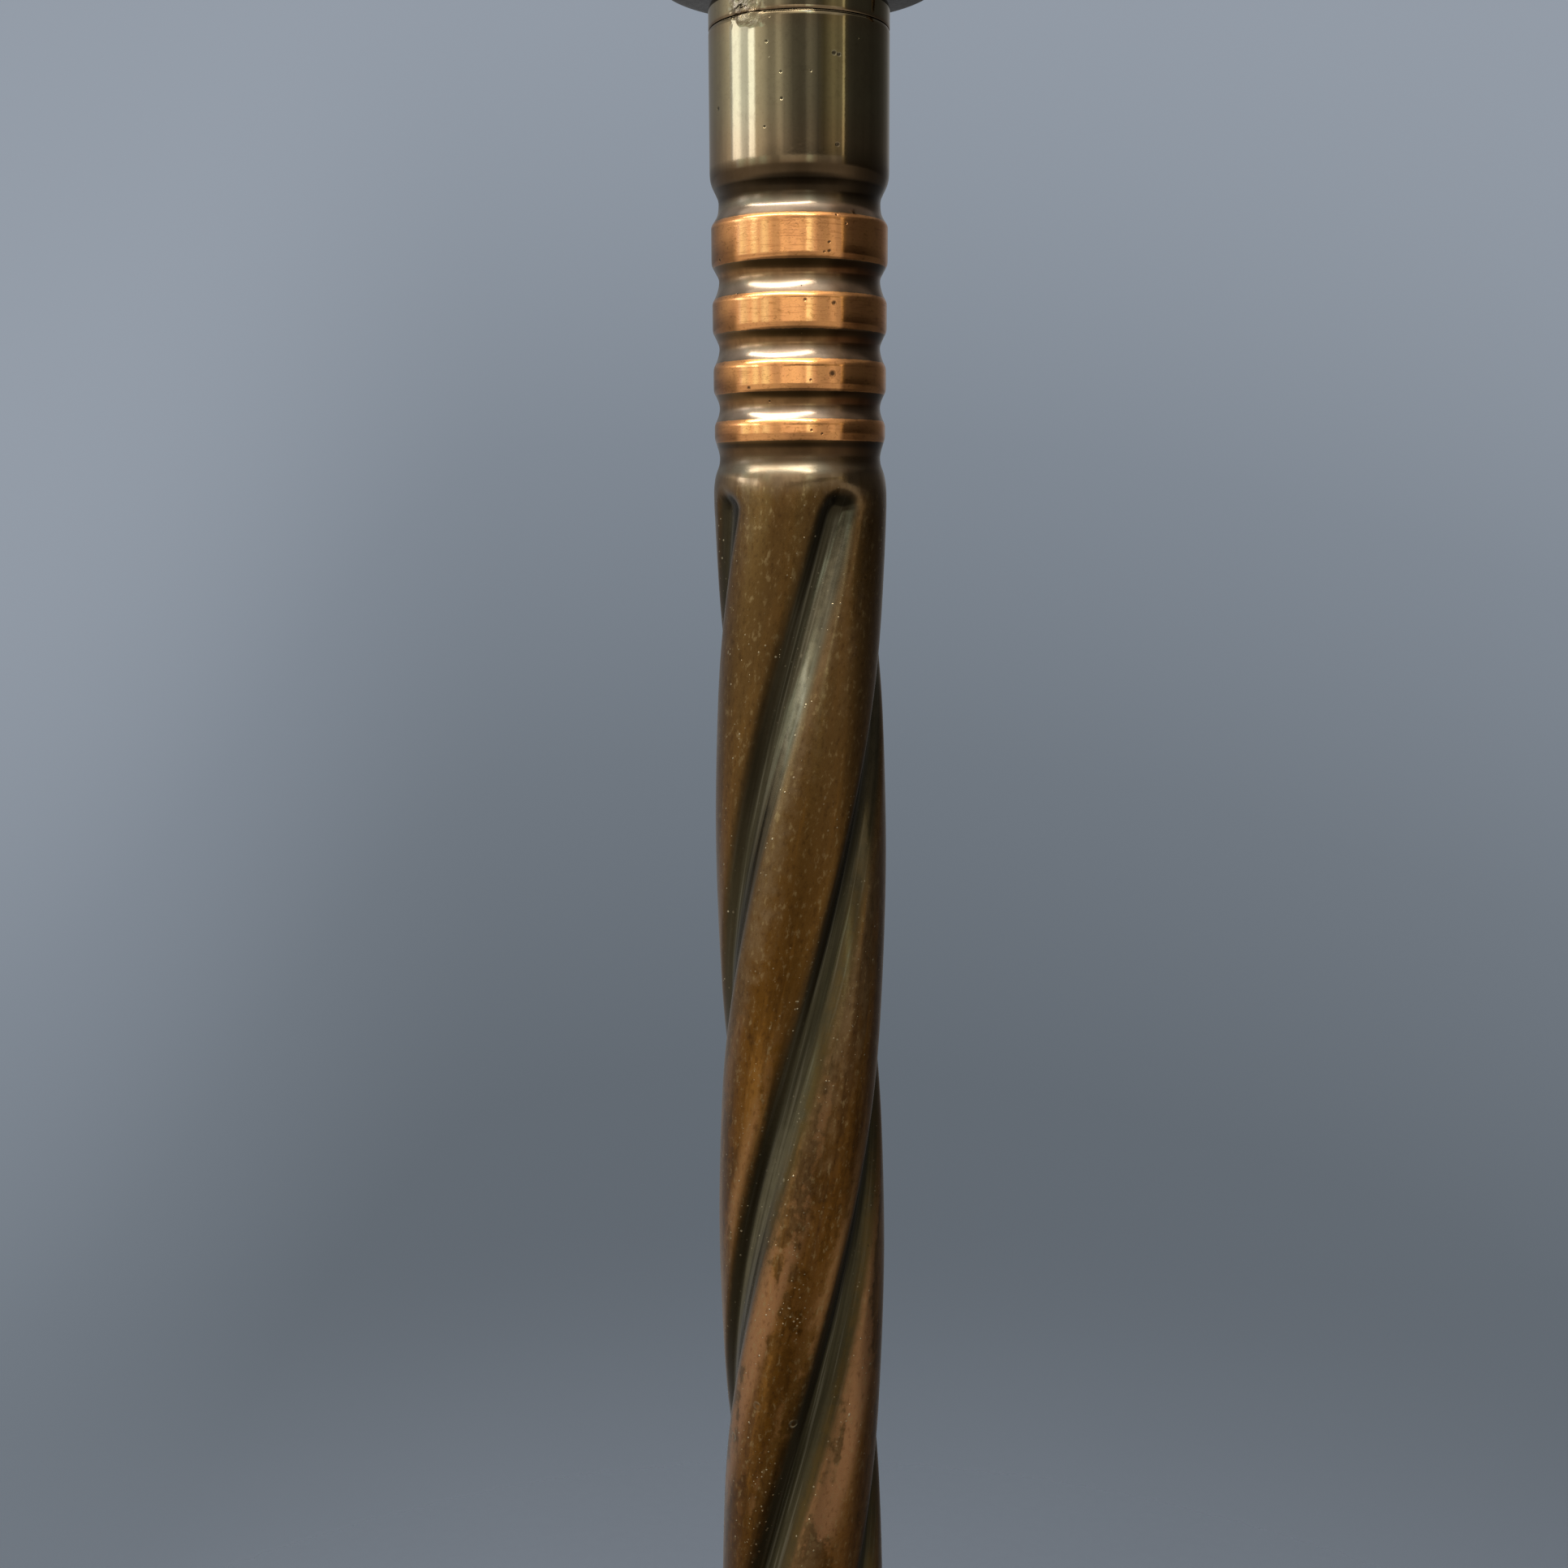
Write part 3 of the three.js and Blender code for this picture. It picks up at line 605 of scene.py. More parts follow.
    # painted shade: near black on each groove's left flank, which faces away from the light
    black = s.attr("black")
    fluted_colour = s.mix(s.mul(black, s.ramp(s.add(flow, s.mul(mottle, 0.4)), 0.45, 0.95, 0.88, 0.55)), fluted_colour, s.mix(s.ramp(low, 0.12, 0.40), (0.030, 0.020, 0.007), (0.056, 0.040, 0.017)))
    on_flutes = s.ramp(s.add(fluted, s.add(s.mul(s.add(streak, -0.5), 0.7), s.mul(s.add(mottle, -0.5), 0.5))), 0.10, 0.90)
    colour = s.mix(on_flutes, colour, fluted_colour)

    # small black pits in the collar and the rings, pale blisters and specks in the lacquer of the lands
    pits = s.math("MAXIMUM", spots(s, place, 150.0, 0.070, 0.40, 3.0), spots(s, place, 430.0, 0.105, 0.22, 5.0))
    pits = s.mul(pits, s.line(fluted, 0.0, 1.0, 1.0, 0.25))
    pits = s.math("MAXIMUM", pits, marks(s, s.shift(place, 0.0, 0.0, 0.0), COLLAR_PITS, 0.3, 0.75, 1.15))
    pits = s.math("MAXIMUM", pits, marks(s, place, RING_PITS, 0.3, 0.7, 1.1))
    pits = s.mul(pits, s.ramp(grain, 0.25, 0.50, 0.55, 1.0))
    colour = s.mix(s.mul(pits, 0.88), colour, (0.020, 0.014, 0.008))
    gather = s.ramp(s.noise(s.stretch(s.shift(lean, 0.4, 0.2, 0.9), 1.0, 1.0, 0.35), 85.0, 3.0, 0.6), 0.46, 0.60)
    gather = s.math("MAXIMUM", s.mul(gather, 0.95), s.mul(s.attr("ridge"), s.ramp(s.noise(s.stretch(s.shift(along, 0.2, 0.7, 0.3), 1.0, 1.0, 0.25), 160.0, 3.0, 0.6), 0.42, 0.58, 0.10, 1.3)))
    speck = s.math("MAXIMUM", spots(s, s.stretch(lean, 1.0, 1.0, 0.7), 520.0, 0.14, 0.22, 7.0), spots(s, lean, 1250.0, 0.24, 0.50, 11.0))
    gather = s.math("MAXIMUM", gather, s.mul(s.attr("dust"), s.ramp(s.noise(s.shift(along, 0.7, 0.1, 0.5), 210.0, 2.0, 0.5), 0.46, 0.62)))
    speck = s.mul(s.mul(speck, gather), s.mul(fluted, s.math("MAXIMUM", s.ramp(groove, 0.75, 0.35, 0.22, 1.0), s.mul(s.attr("dust"), 0.9))))
    colour = s.mix(s.mul(speck, 0.85), colour, (0.600, 0.485, 0.295))
    ring_out, ring_in = marks(s, place, BLISTERS, 0.85, 0.30), marks(s, place, BLISTERS, 0.58, 0.55)
    blister = s.mul(s.math("SUBTRACT", ring_out, ring_in, clamp=True), s.ramp(s.noise(place, 600.0, 2.0, 0.5), 0.36, 0.60, 0.15, 1.0))
    colour = s.mix(s.mul(blister, 0.62), colour, (0.360, 0.310, 0.190))
    colour = s.mix(s.ramp(grain, 0.54, 0.74, 0.0, 0.22), colour, s.mix(1.0, colour, (0.60, 0.58, 0.52), "MULTIPLY"))
    colour = s.mix(s.mul(lump, s.ramp(fine, 0.42, 0.62)), colour, (0.470, 0.360, 0.250))

    rough = s.blend(polished, s.line(s.add(s.mul(cloud, 0.5), s.mul(mottle, 0.5)), 0.32, 0.68, 0.030, 0.075), s.line(s.add(s.mul(brush, 0.5), s.mul(patch, 0.5)), 0.35, 0.66, 0.035, 0.085))
    rough = s.add(rough, s.mul(s.mul(ringed, hollow), s.line(polished, 0.0, 1.0, 0.17, 0.0)))
    rough = s.add(rough, s.mul(s.mul(s.attr("brow"), polished), 0.13))
    rough = s.add(rough, s.mul(s.attr("satin"), 0.09))
    rough_fluted = s.blend(in_groove, s.line(s.add(s.mul(streak, 0.5), s.mul(mottle, 0.5)), 0.34, 0.66, 0.20, 0.32), s.line(flow, 0.35, 0.7, 0.18, 0.27))
    rough = s.blend(on_flutes, rough, rough_fluted)
    rough = s.math("MAXIMUM", rough, s.mul(pits, 0.7))
    rough = s.math("MAXIMUM", rough, s.mul(lump, 0.22))
    rough = s.math("SUBTRACT", rough, s.mul(speck, 0.10))

    # relief in mm
    wave = s.mul(s.noise(s.stretch(place, 1.0, 1.0, 0.35), 240.0, 2.0, 0.5), 0.010)
    height = s.add(wave, s.add(s.mul(fine, 0.0022), s.mul(grain, 0.0016)))
    height = s.add(height, s.mul(polished, s.add(s.mul(brush, 0.0026), s.mul(nick, 0.0042))))
    height = s.add(height, s.mul(on_flutes, s.add(s.mul(streak, 0.008), s.add(s.mul(fine, 0.008), s.add(s.mul(mottle, 0.014), s.mul(crumb, 0.008))))))
    height = s.add(height, s.mul(speck, 0.030))
    height = s.add(height, s.mul(blister, 0.045))
    height = s.math("SUBTRACT", height, s.mul(pits, 0.060))
    height = s.add(height, s.mul(lump, s.mul(s.noise(place, 1500.0, 4.0, 0.65), 0.16)))
    s.set(Base_Color=colour, Metallic=1.0, Roughness=rough, Normal=s.bump(height, 1.0, MM))
    s.set(Coat_Weight=0.10, Coat_Roughness=0.12, Coat_IOR=1.5)
    return s.mat


def patinated_bronze(name="patinated_bronze", tone=1.0):
    """Foot, ferrule and key: the same brown and olive patina, rubbed to copper where it stands proud."""
    s = Shade(name)
    place = s.place()
    wear = s.attr("wear")
    hollow = s.attr("hollow")
    cloud = s.noise(place, 38.0, 5.0, 0.6)
    fine = s.noise(place, 850.0, 3.0, 0.6)
    grain = s.noise(place, 3000.0, 2.0, 0.5)
    blotch = s.noise(s.shift(place, 0.3, 0.1, 0.2), 120.0, 4.0, 0.62)
    spin = s.noise(s.stretch(s.attr("spin", True), 1.0, 1.0, 1.0), 900.0, 2.0, 0.6)
    colour = s.mix(s.ramp(cloud, 0.36, 0.64), (0.300 * tone, 0.178 * tone, 0.082 * tone), (0.225 * tone, 0.165 * tone, 0.088 * tone))
    colour = s.mix(s.ramp(blotch, 0.50, 0.70, 0.0, 0.65), colour, (0.165 * tone, 0.098 * tone, 0.046 * tone))
    colour = s.mix(s.ramp(spin, 0.48, 0.72, 0.0, 0.30), colour, (0.38 * tone, 0.21 * tone, 0.095 * tone))
    colour = s.mix(s.mul(hollow, s.ramp(blotch, 0.25, 0.65, 0.7, 1.0)), colour, (0.060, 0.046, 0.030))
    edge = s.add(wear, s.mul(s.add(fine, -0.5), 0.5))
    rubbed = s.mul(s.ramp(s.add(edge, s.mul(s.add(blotch, -0.5), 0.8)), 0.42, 0.72), 0.92)
    copper = s.mix(s.ramp(spin, 0.45, 0.7), (0.80, 0.345, 0.140), (0.62, 0.265, 0.110))
    colour = s.mix(rubbed, colour, copper)
    pits = s.math("MAXIMUM", spots(s, place, 130.0, 0.085, 0.35, 3.0), spots(s, place, 420.0, 0.12, 0.16, 5.0))
    colour = s.mix(s.mul(pits, 0.85), colour, (0.018, 0.013, 0.008))
    colour = s.mix(s.ramp(grain, 0.55, 0.75, 0.0, 0.22), colour, s.mix(1.0, colour, (0.60, 0.58, 0.52), "MULTIPLY"))
    rough = s.blend(rubbed, s.line(blotch, 0.3, 0.7, 0.28, 0.42), s.line(spin, 0.35, 0.7, 0.22, 0.34))
    height = s.add(s.mul(fine, 0.4), s.mul(spin, 0.35))
    height = s.math("SUBTRACT", height, s.mul(pits, 1.5))
    n1 = s.bump(s.noise(place, 180.0, 2.0, 0.5), 0.08, 0.0006)
    n2 = s.bump(height, 0.22, 0.0002, n1)
    s.set(Base_Color=colour, Metallic=1.0, Roughness=rough, Normal=n2)
    s.set(Coat_Weight=0.40, Coat_Roughness=0.12, Coat_IOR=1.5)
    return s.mat


def black_phenolic():
    """Moulded black lampholder: fine flow marks, dulled with age, lighter dust in cloudy patches, and small scuffs."""
    s = Shade("black_phenolic")
    place = s.place()
    cloud = s.noise(place, 60.0, 4.0, 0.6)
    fine = s.noise(place, 1500.0, 3.0, 0.6)
    flow = s.noise(s.stretch(place, 0.3, 0.3, 1.4), 260.0, 4.0, 0.6, distortion=0.6)
    colour = s.mix(s.ramp(flow, 0.36, 0.66), (0.0105, 0.0110, 0.0125), (0.0210, 0.0200, 0.0200))
    colour = s.mix(s.ramp(cloud, 0.55, 0.78, 0.0, 0.5), colour, (0.040, 0.038, 0.036))
    scuff = spots(s, s.stretch(place, 1.0, 1.0, 0.35), 520.0, 0.20, 0.14, 2.0)
    colour = s.mix(s.mul(scuff, 0.35), colour, (0.085, 0.080, 0.075))
    rough = s.line(s.add(s.mul(cloud, 0.6), s.mul(fine, 0.4)), 0.35, 0.68, 0.24, 0.46)
    n = s.bump(s.add(s.mul(fine, 0.5), s.mul(flow, 0.4)), 0.12, 0.00018)
    s.set(Base_Color=colour, Metallic=0.0, Roughness=rough, Normal=n, IOR=1.58)
    s.set(Coat_Weight=0.15, Coat_Roughness=0.2)
    return s.mat


def plain_brass():
    s = Shade("plain_brass")
    place = s.place()
    cloud = s.noise(place, 140.0, 4.0, 0.6)
    fine = s.noise(place, 1700.0, 3.0, 0.6)
    brush = s.noise(s.stretch(place, 1.0, 1.0, 0.08), 2600.0, 2.0, 0.6)
    colour = s.mix(s.ramp(cloud, 0.36, 0.66), (0.72, 0.50, 0.20), (0.54, 0.37, 0.15))
    colour = s.mix(s.ramp(fine, 0.55, 0.75, 0.0, 0.5), colour, (0.30, 0.20, 0.085))
    tarnish = spots(s, place, 480.0, 0.22, 0.25, 4.0)
    colour = s.mix(s.mul(tarnish, 0.6), colour, (0.17, 0.11, 0.055))
    rough = s.line(s.add(s.mul(brush, 0.5), s.mul(cloud, 0.5)), 0.35, 0.68, 0.20, 0.38)
    n = s.bump(s.add(s.mul(brush, 0.5), s.mul(fine, 0.4)), 0.15, 0.00012)
    s.set(Base_Color=colour, Metallic=1.0, Roughness=rough, Normal=n)
    return s.mat


def zinc_steel():
    s = Shade("zinc_steel")
    place = s.place()
    spangle = s.cells(place, 420.0, want="Color")
    tone = s.split(spangle)[0]
    fine = s.noise(place, 1800.0, 3.0, 0.6)
    cloud = s.noise(place, 90.0, 4.0, 0.6)
    colour = s.mix(s.line(tone, 0.0, 1.0), (0.46, 0.47, 0.48), (0.60, 0.61, 0.61))
    colour = s.mix(s.ramp(cloud, 0.52, 0.75, 0.0, 0.55), colour, (0.33, 0.30, 0.255))
    thread = s.mul(s.add(s.math("SINE", s.mul(s.split(place)[2], 6283.0)), 1.0), 0.5)
    rough = s.line(s.add(s.mul(fine, 0.6), s.mul(tone, 0.4)), 0.3, 0.7, 0.28, 0.46)
    n = s.bump(s.add(s.mul(fine, 0.4), s.mul(thread, 0.25)), 0.2, 0.0002)
    s.set(Base_Color=colour, Metallic=1.0, Roughness=rough, Normal=n)
    return s.mat


def cast_iron():
    s = Shade("cast_iron")
    place = s.place()
    skin = s.noise(place, 520.0, 5.0, 0.65)
    cloud = s.noise(place, 60.0, 4.0, 0.6)
    colour = s.mix(s.ramp(skin, 0.35, 0.68), (0.060, 0.058, 0.057), (0.105, 0.098, 0.092))
    colour = s.mix(s.ramp(cloud, 0.55, 0.75, 0.0, 0.6), colour, (0.115, 0.058, 0.030))
    rough = s.line(skin, 0.3, 0.7, 0.55, 0.78)
    n = s.bump(skin, 0.45, 0.0005)
    s.set(Base_Color=colour, Metallic=0.75, Roughness=rough, Normal=n)
    return s.mat


def steatite():
    s = Shade("steatite")
    place = s.place()
    cloud = s.noise(place, 130.0, 4.0, 0.6)
    fine = s.noise(place, 1600.0, 3.0, 0.6)
    colour = s.mix(s.ramp(cloud, 0.35, 0.68), (0.66, 0.62, 0.52), (0.56, 0.51, 0.41))
    dots = spots(s, place, 700.0, 0.16, 0.2, 3.0)
    colour = s.mix(s.mul(dots, 0.5), colour, (0.30, 0.25, 0.19))
    rough = s.line(fine, 0.3, 0.7, 0.32, 0.52)
    n = s.bump(s.add(fine, s.mul(cloud, 0.6)), 0.15, 0.0002)
    s.set(Base_Color=colour, Metallic=0.0, Roughness=rough, Normal=n)
    return s.mat


def green_felt():
    s = Shade("green_felt")
    place = s.place()
    fuzz = s.noise(place, 1500.0, 5.0, 0.7, distortion=1.2)
    hair = s.noise(s.stretch(place, 1.0, 0.25, 1.0), 2600.0, 3.0, 0.6, distortion=2.0)
    cloud = s.noise(place, 70.0, 4.0, 0.6)
    colour = s.mix(s.ramp(fuzz, 0.32, 0.70), (0.016, 0.030, 0.018), (0.045, 0.078, 0.046))
    colour = s.mix(s.ramp(hair, 0.58, 0.74, 0.0, 0.6), colour, (0.090, 0.125, 0.080))
    colour = s.mix(s.ramp(cloud, 0.52, 0.75, 0.0, 0.4), colour, (0.060, 0.070, 0.048))
    n = s.bump(s.add(fuzz, s.mul(hair, 0.7)), 0.7, 0.0006)
    s.set(Base_Color=colour, Metallic=0.0, Roughness=s.line(fuzz, 0.3, 0.7, 0.86, 0.98), Normal=n)
    s.set(Sheen_Weight=0.35, Sheen_Roughness=0.5)
    return s.mat


def black_rubber():
    s = Shade("black_rubber")
    place = s.place()
    fine = s.noise(place, 1500.0, 4.0, 0.6)
    cloud = s.noise(place, 160.0, 4.0, 0.6)
    colour = s.mix(s.ramp(cloud, 0.35, 0.7), (0.014, 0.014, 0.015), (0.030, 0.029, 0.028))
    colour = s.mix(s.ramp(fine, 0.58, 0.76, 0.0, 0.4), colour, (0.060, 0.057, 0.054))
    n = s.bump(fine, 0.25, 0.0002)
    s.set(Base_Color=colour, Metallic=0.0, Roughness=s.line(fine, 0.3, 0.7, 0.48, 0.68), Normal=n)
    return s.mat


FINISH = {
    "rubbed_copper": rubbed_copper(),
    "patinated_bronze": patinated_bronze(),
    "plain_brass": plain_brass(),
    "zinc_steel": zinc_steel(),
    "cast_iron": cast_iron(),
    "black_phenolic": black_phenolic(),
    "steatite": steatite(),
    "green_felt": green_felt(),
    "black_rubber": black_rubber(),
}


def coat(obj, slot):
    obj.data.materials.clear()
    obj.data.materials.append(FINISH[slot])


def piece(obj, body, slot, *replaced):
    coat(obj, slot)
    return stand_in(obj, body, slot, *replaced)


# ------------------------------------------------------------------------------------------------------------------
# Stem
# ------------------------------------------------------------------------------------------------------------------
def blob_height(phi_deg, z):
    """An old lump of solder and lacquer over the seam, left of the front: 1 in its middle."""
    edge = 1.0 + 0.16 * np.sin(phi_deg * 0.9 + z * 2.1) + 0.12 * np.sin(phi_deg * 2.3 - z * 3.3)
    return np.exp(-(np.abs((phi_deg + 35.5) / (9.0 * edge)) ** 4)) * np.exp(-(np.abs((z - 345.3 + 0.06 * (phi_deg + 35.5)) / (1.75 * edge)) ** 4))


def rough_lump(p):
    return 0.16 + 0.26 * noise.noise(p * 1.1) + 0.22 * noise.noise(p * 2.3) + 0.12 * noise.noise(p * 4.9)


def make_stem():
    ring_rows = np.arange(284.0, 328.0, 0.30)
    for _, hi in POLISHED:
        ring_rows = ring_rows[np.abs(ring_rows - (RING_Z + hi - 0.45)) > 0.55]
    ring_rows = np.sort(np.concatenate([ring_rows] + [RING_Z + hi - 0.45 + np.arange(-0.45, 0.46, 0.15) for _, hi in POLISHED]))
    z_rows = np.concatenate([
        np.linspace(STEM_BOTTOM, 76.0, 9, endpoint=False),
        np.arange(76.0, 90.0, 0.6),
        np.arange(90.0, 271.0, 1.65),
        np.arange(271.0, 284.0, 0.34),
        ring_rows,
        np.arange(328.0, 340.0, 0.7),
        np.arange(340.0, STEM_TOP - 0.40, 0.28),
        [STEM_TOP - 0.35, STEM_TOP - 0.15, STEM_TOP - 0.04, STEM_TOP],
    ])
    # columns follow the flutes and lie closer together in the grooves
    one = np.concatenate([np.arange(-45.0, -16.0, 2.6), np.linspace(-16.0, 22.0, 36), np.arange(45.0 - 8 * 2.6, 45.0, 2.6)])
    one = np.unique(np.round(one, 4))
    base = np.concatenate([one + 90.0 * k for k in range(FLUTES)])
    cols = len(base)
    Z = np.repeat(z_rows[:, None], cols, 1)
    H = Z - RING_Z
    B = np.repeat(base[None, :], len(z_rows), 0)
    psi = (B + 45.0) % 90.0 - 45.0
    tw = twist_deg(H)
    A = np.radians(B + tw)
    share = ring_share(H)
    depth, inside = flute_shape(H, psi)
    R = TUBE_R * share - depth
    # edge of the tube's mouth, and the slight waviness of a hand-finished tube
    R -= 0.10 * ease((Z - (STEM_TOP - 0.3)) / 0.3)
    R += 0.008 * np.sin(2 * A + Z / 23.0) + 0.005 * np.sin(5 * A - Z / 9.0) + 0.002 * np.sin(9 * A + Z / 5.0)
    phi = (np.degrees(A) + 90.0 + 180.0) % 360.0 - 180.0
    lump = blob_height(phi, Z) * (Z > 338)
    for i, j in np.argwhere(lump > 0.01):
        p = Vector((R[i, j] * math.cos(A[i, j]), R[i, j] * math.sin(A[i, j]), Z[i, j]))
        R[i, j] += lump[i, j] * rough_lump(p)
    X, Y = R * np.cos(A), R * np.sin(A)

    # surface marks: where the finish is rubbed, where it lies deep, where dust has settled, and painted shade under the
    # rings, in the grooves and on the side away from the light
    wear = np.zeros_like(H)
    under = np.zeros_like(H)
    flank = np.zeros_like(H)
    ring_end_shade = np.zeros_like(H)
    brow = np.zeros_like(H)
    bare_and_sheen = np.zeros_like(H)
    shady = ease((phi - 13.0) / 13.0) * ease((150.0 - phi) / 60.0)  # painted shade: the side of the stem that faces away from the light
    for lo, hi in POLISHED:
        wear = np.maximum(wear, ease((H - lo + 0.10) / 0.20) * ease((hi + 0.28 - H) / 0.56))
        # bared metal above each ring, with a painted highlight
        bare_and_sheen = np.maximum(bare_and_sheen, ease((H - hi + 0.2) / 0.4) * ease((hi + 1.9 - H) / 1.1))
        # patina under each ring, darkened further as painted shade
        under = np.maximum(under, ease((lo + 0.10 - H) / 0.20) * ease((H - (lo - 1.35)) / 0.75))
        flank = np.maximum(flank, ease((lo + 0.1 - H) / 0.3) * ease((H - (lo - 3.4)) / 2.2))
        tall = hi - lo
        on_ring = ease((H - lo + 0.3) / 0.3) * ease((hi + 0.3 - H) / 0.3)
        # painted shade on the rings: strong on the right side, and on the left end towards its lower part
        ring_end_shade = np.maximum(ring_end_shade, ease((lo + 2.6 - H) / 2.0) * on_ring * ease((phi - 24.5) / 5.0) * (1.0 - 0.60 * ease((phi - 40.0) / 22.0)) * ease((150.0 - phi) / 60.0))
        ring_end_shade = np.maximum(ring_end_shade, 0.80 * ease((lo + 0.77 * tall - H) / (0.60 * tall)) * on_ring * ease((-41.0 - phi) / 8.0) * ease((phi + 150.0) / 60.0))
        ring_end_shade = np.maximum(ring_end_shade, 0.30 * on_ring * ease((-54.0 - phi) / 14.0) * ease((phi + 150.0) / 60.0))
        brow = np.maximum(brow, ease((H - (hi - 1.05)) / 0.5) * ease((hi + 0.3 - H) / 0.3))
    # the same patina and painted shade under the collar's lower edge
    under = np.maximum(under, 0.96 * ease((43.60 - H) / 0.25) * ease((H - 42.0) / 1.2))
    under = np.maximum(under, 0.78 * ease((43.4 - H) / 0.3) * ease((H - 40.6) / 1.3))
    # painted shade in the groove under the collar and in the groove above the shoulder
    recess_shade = 0.90 * ease((46.5 - H) / 1.8) * ease((H - 40.4) / 1.6)
    recess_shade = np.maximum(recess_shade, 0.78 * ease((9.0 - H) / 0.6) * ease((H - 5.0) / 1.4))
    # painted shade on the collar's lower band, left out where the left panels light it
    collar_foot_shade = ease((48.4 - H) / 2.6) * ease((H - 44.0) / 1.0) * (1.0 - ease((phi + 84.0) / 14.0) * ease((-19.0 - phi) / 14.0))
    satin = np.maximum(ease((8.0 - H) / 2.5) * ease((H + 4.0) / 4.0), 0.8 * ease((46.6 - H) / 1.2) * ease((H - 43.0) / 1.0))
    ringed = ease((H - 1.0) / 4.0) * ease((46.2 - H) / 2.2)
    ring_hollow = ease((0.985 - share) / 0.075) * ringed
    fluted = ease((6.2 - H) / 6.5) * ease((Z - 74.0) / 8.0)
    low = np.clip(-H / 170.0, 0, 1)
    started = ease((1.8 - H) / 2.6) * ease((Z - 80.0) / 4.0)
    lip = np.exp(-(((psi + 22.0) / 4.5) ** 2)) * fluted * ease((-2.0 - H) / 14.0)
    upper = ease((H + 66.0) / 24.0)
    # where the painted highlight runs along each groove's right flank
    crest_at = 13.5 - 3.6 * upper
    crest_sheen = np.exp(-(((psi - crest_at) / np.where(psi > crest_at, 6.8 - 0.6 * upper, 5.0)) ** 2)) * fluted * ease((-1.5 - H) / 7.0)
    across = np.clip((psi % 90.0 - 18.0) / 50.0 + 0.28 * upper, 0, 1)  # 0 at a land's left edge, 1 at its right edge
    # painted shade on each groove's left flank, and at the groove's upper end
    black = ease((psi + 21.0) / 9.0) * ease((-4.0 - psi) / 3.5) * started
    black = np.maximum(black, ease((17.0 - np.abs(psi)) / 8.0) * ease((2.6 - H) / 1.6) * ease((H + 2.2) / 2.0))
    # pale dust that has settled in stretches of the flutes
    flute = np.round(B / 90.0).astype(int) % FLUTES
    dust = np.zeros_like(H)
    for k, at, reach in ((1, -103.0, 24.0), (3, -62.0, 20.0), (0, -152.0, 18.0), (2, -28.0, 14.0)):
        dust = np.maximum(dust, (flute == k) * np.exp(-(((H - at) / reach) ** 2)))
    dust = dust * ease((inside - 0.25) / 0.45) * ease((psi + 9.0) / 7.0)
    ridge = np.exp(-(((psi - 19.0) / 5.5) ** 2)) * fluted * ease((-8.0 - H) / 14.0)
    face = 0.15 + 0.85 * ease((psi + 4.0) / 12.0) * ease((44.0 - psi) / 10.0)
    brown = np.maximum(0.75 * ease((55.0 - H) / 9.0) + 0.25 * ease((45.9 - H) / 0.9), 0.40 * ease((Z - 341.5) / 3.0)) * (H > 1.0)
    brown = np.maximum(brown, 0.9 * ease((76.0 - Z) / 4.0))
    lean_a = A - np.radians(0.55 * (tw - FLUTE_PHASE))
    along_a = np.radians(B)
    lean = np.stack([TUBE_R * np.cos(lean_a), TUBE_R * np.sin(lean_a), Z], -1) * MM
    along = np.stack([TUBE_R * np.cos(along_a), TUBE_R * np.sin(along_a), Z], -1) * MM

    # bore, from the top down; its columns start where the mouth's columns are
    inner = [(11.2, STEM_TOP), (11.2, 333.0), (10.0, 331.0), (10.0, 286.0), (9.2, 283.0), (9.2, 79.0), (11.2, 76.0), (11.2, STEM_BOTTOM)]
    a_in = np.radians(base)
    turn_top = math.radians(FLUTE_PHASE)
    turn_low = math.radians(float(twist_deg(STEM_BOTTOM - RING_Z)))
    Xi, Yi, Zi = np.zeros((len(inner), cols)), np.zeros((len(inner), cols)), np.zeros((len(inner), cols))
    for k, (r, z) in enumerate(inner):
        t = turn_low + (turn_top - turn_low) * (z - STEM_BOTTOM) / (STEM_TOP - STEM_BOTTOM)
        Xi[k], Yi[k], Zi[k] = r * np.cos(a_in + t), r * np.sin(a_in + t), z
    fill = np.zeros_like(Xi)
    vec_in = np.stack([Xi, Yi, Zi], -1) * MM

    def stack(a, b):
        return np.concatenate([a, b], 0)

    return loop_grid(
        "stem_tube",
        stack(X, Xi), stack(Y, Yi), stack(Z, Zi),
        {
            "wear": stack(wear, fill), "hollow": stack(ring_hollow, fill), "groove": stack(inside * fluted, fill), "fluted": stack(fluted, fill),
            "under": stack(under, fill), "low": stack(low, fill), "ringed": stack(ringed, fill), "lip": stack(lip, fill), "crest_sheen": stack(crest_sheen, fill), "dust": stack(dust, fill), "ridge": stack(ridge, fill),
            "flank": stack(flank, fill), "bare_and_sheen": stack(bare_and_sheen, fill), "shady": stack(shady * ringed, fill), "ring_end_shade": stack(ring_end_shade, fill), "brow": stack(brow, fill), "collar_foot_shade": stack(collar_foot_shade, fill), "satin": stack(satin, fill), "recess_shade": stack(recess_shade, fill), "black": stack(black, fill), "face": stack(face, fill), "across": stack(across, fill),
            "brown": stack(brown, fill + 1.0), "lump": stack(np.clip(lump, 0, 1), fill),
        },
        {"lean": stack(lean, vec_in), "along": stack(along, vec_in)},
        sharp=50.0,
    )


stem = make_stem()
piece(stem, "lamp", "rubbed_copper", "fluted_stem")


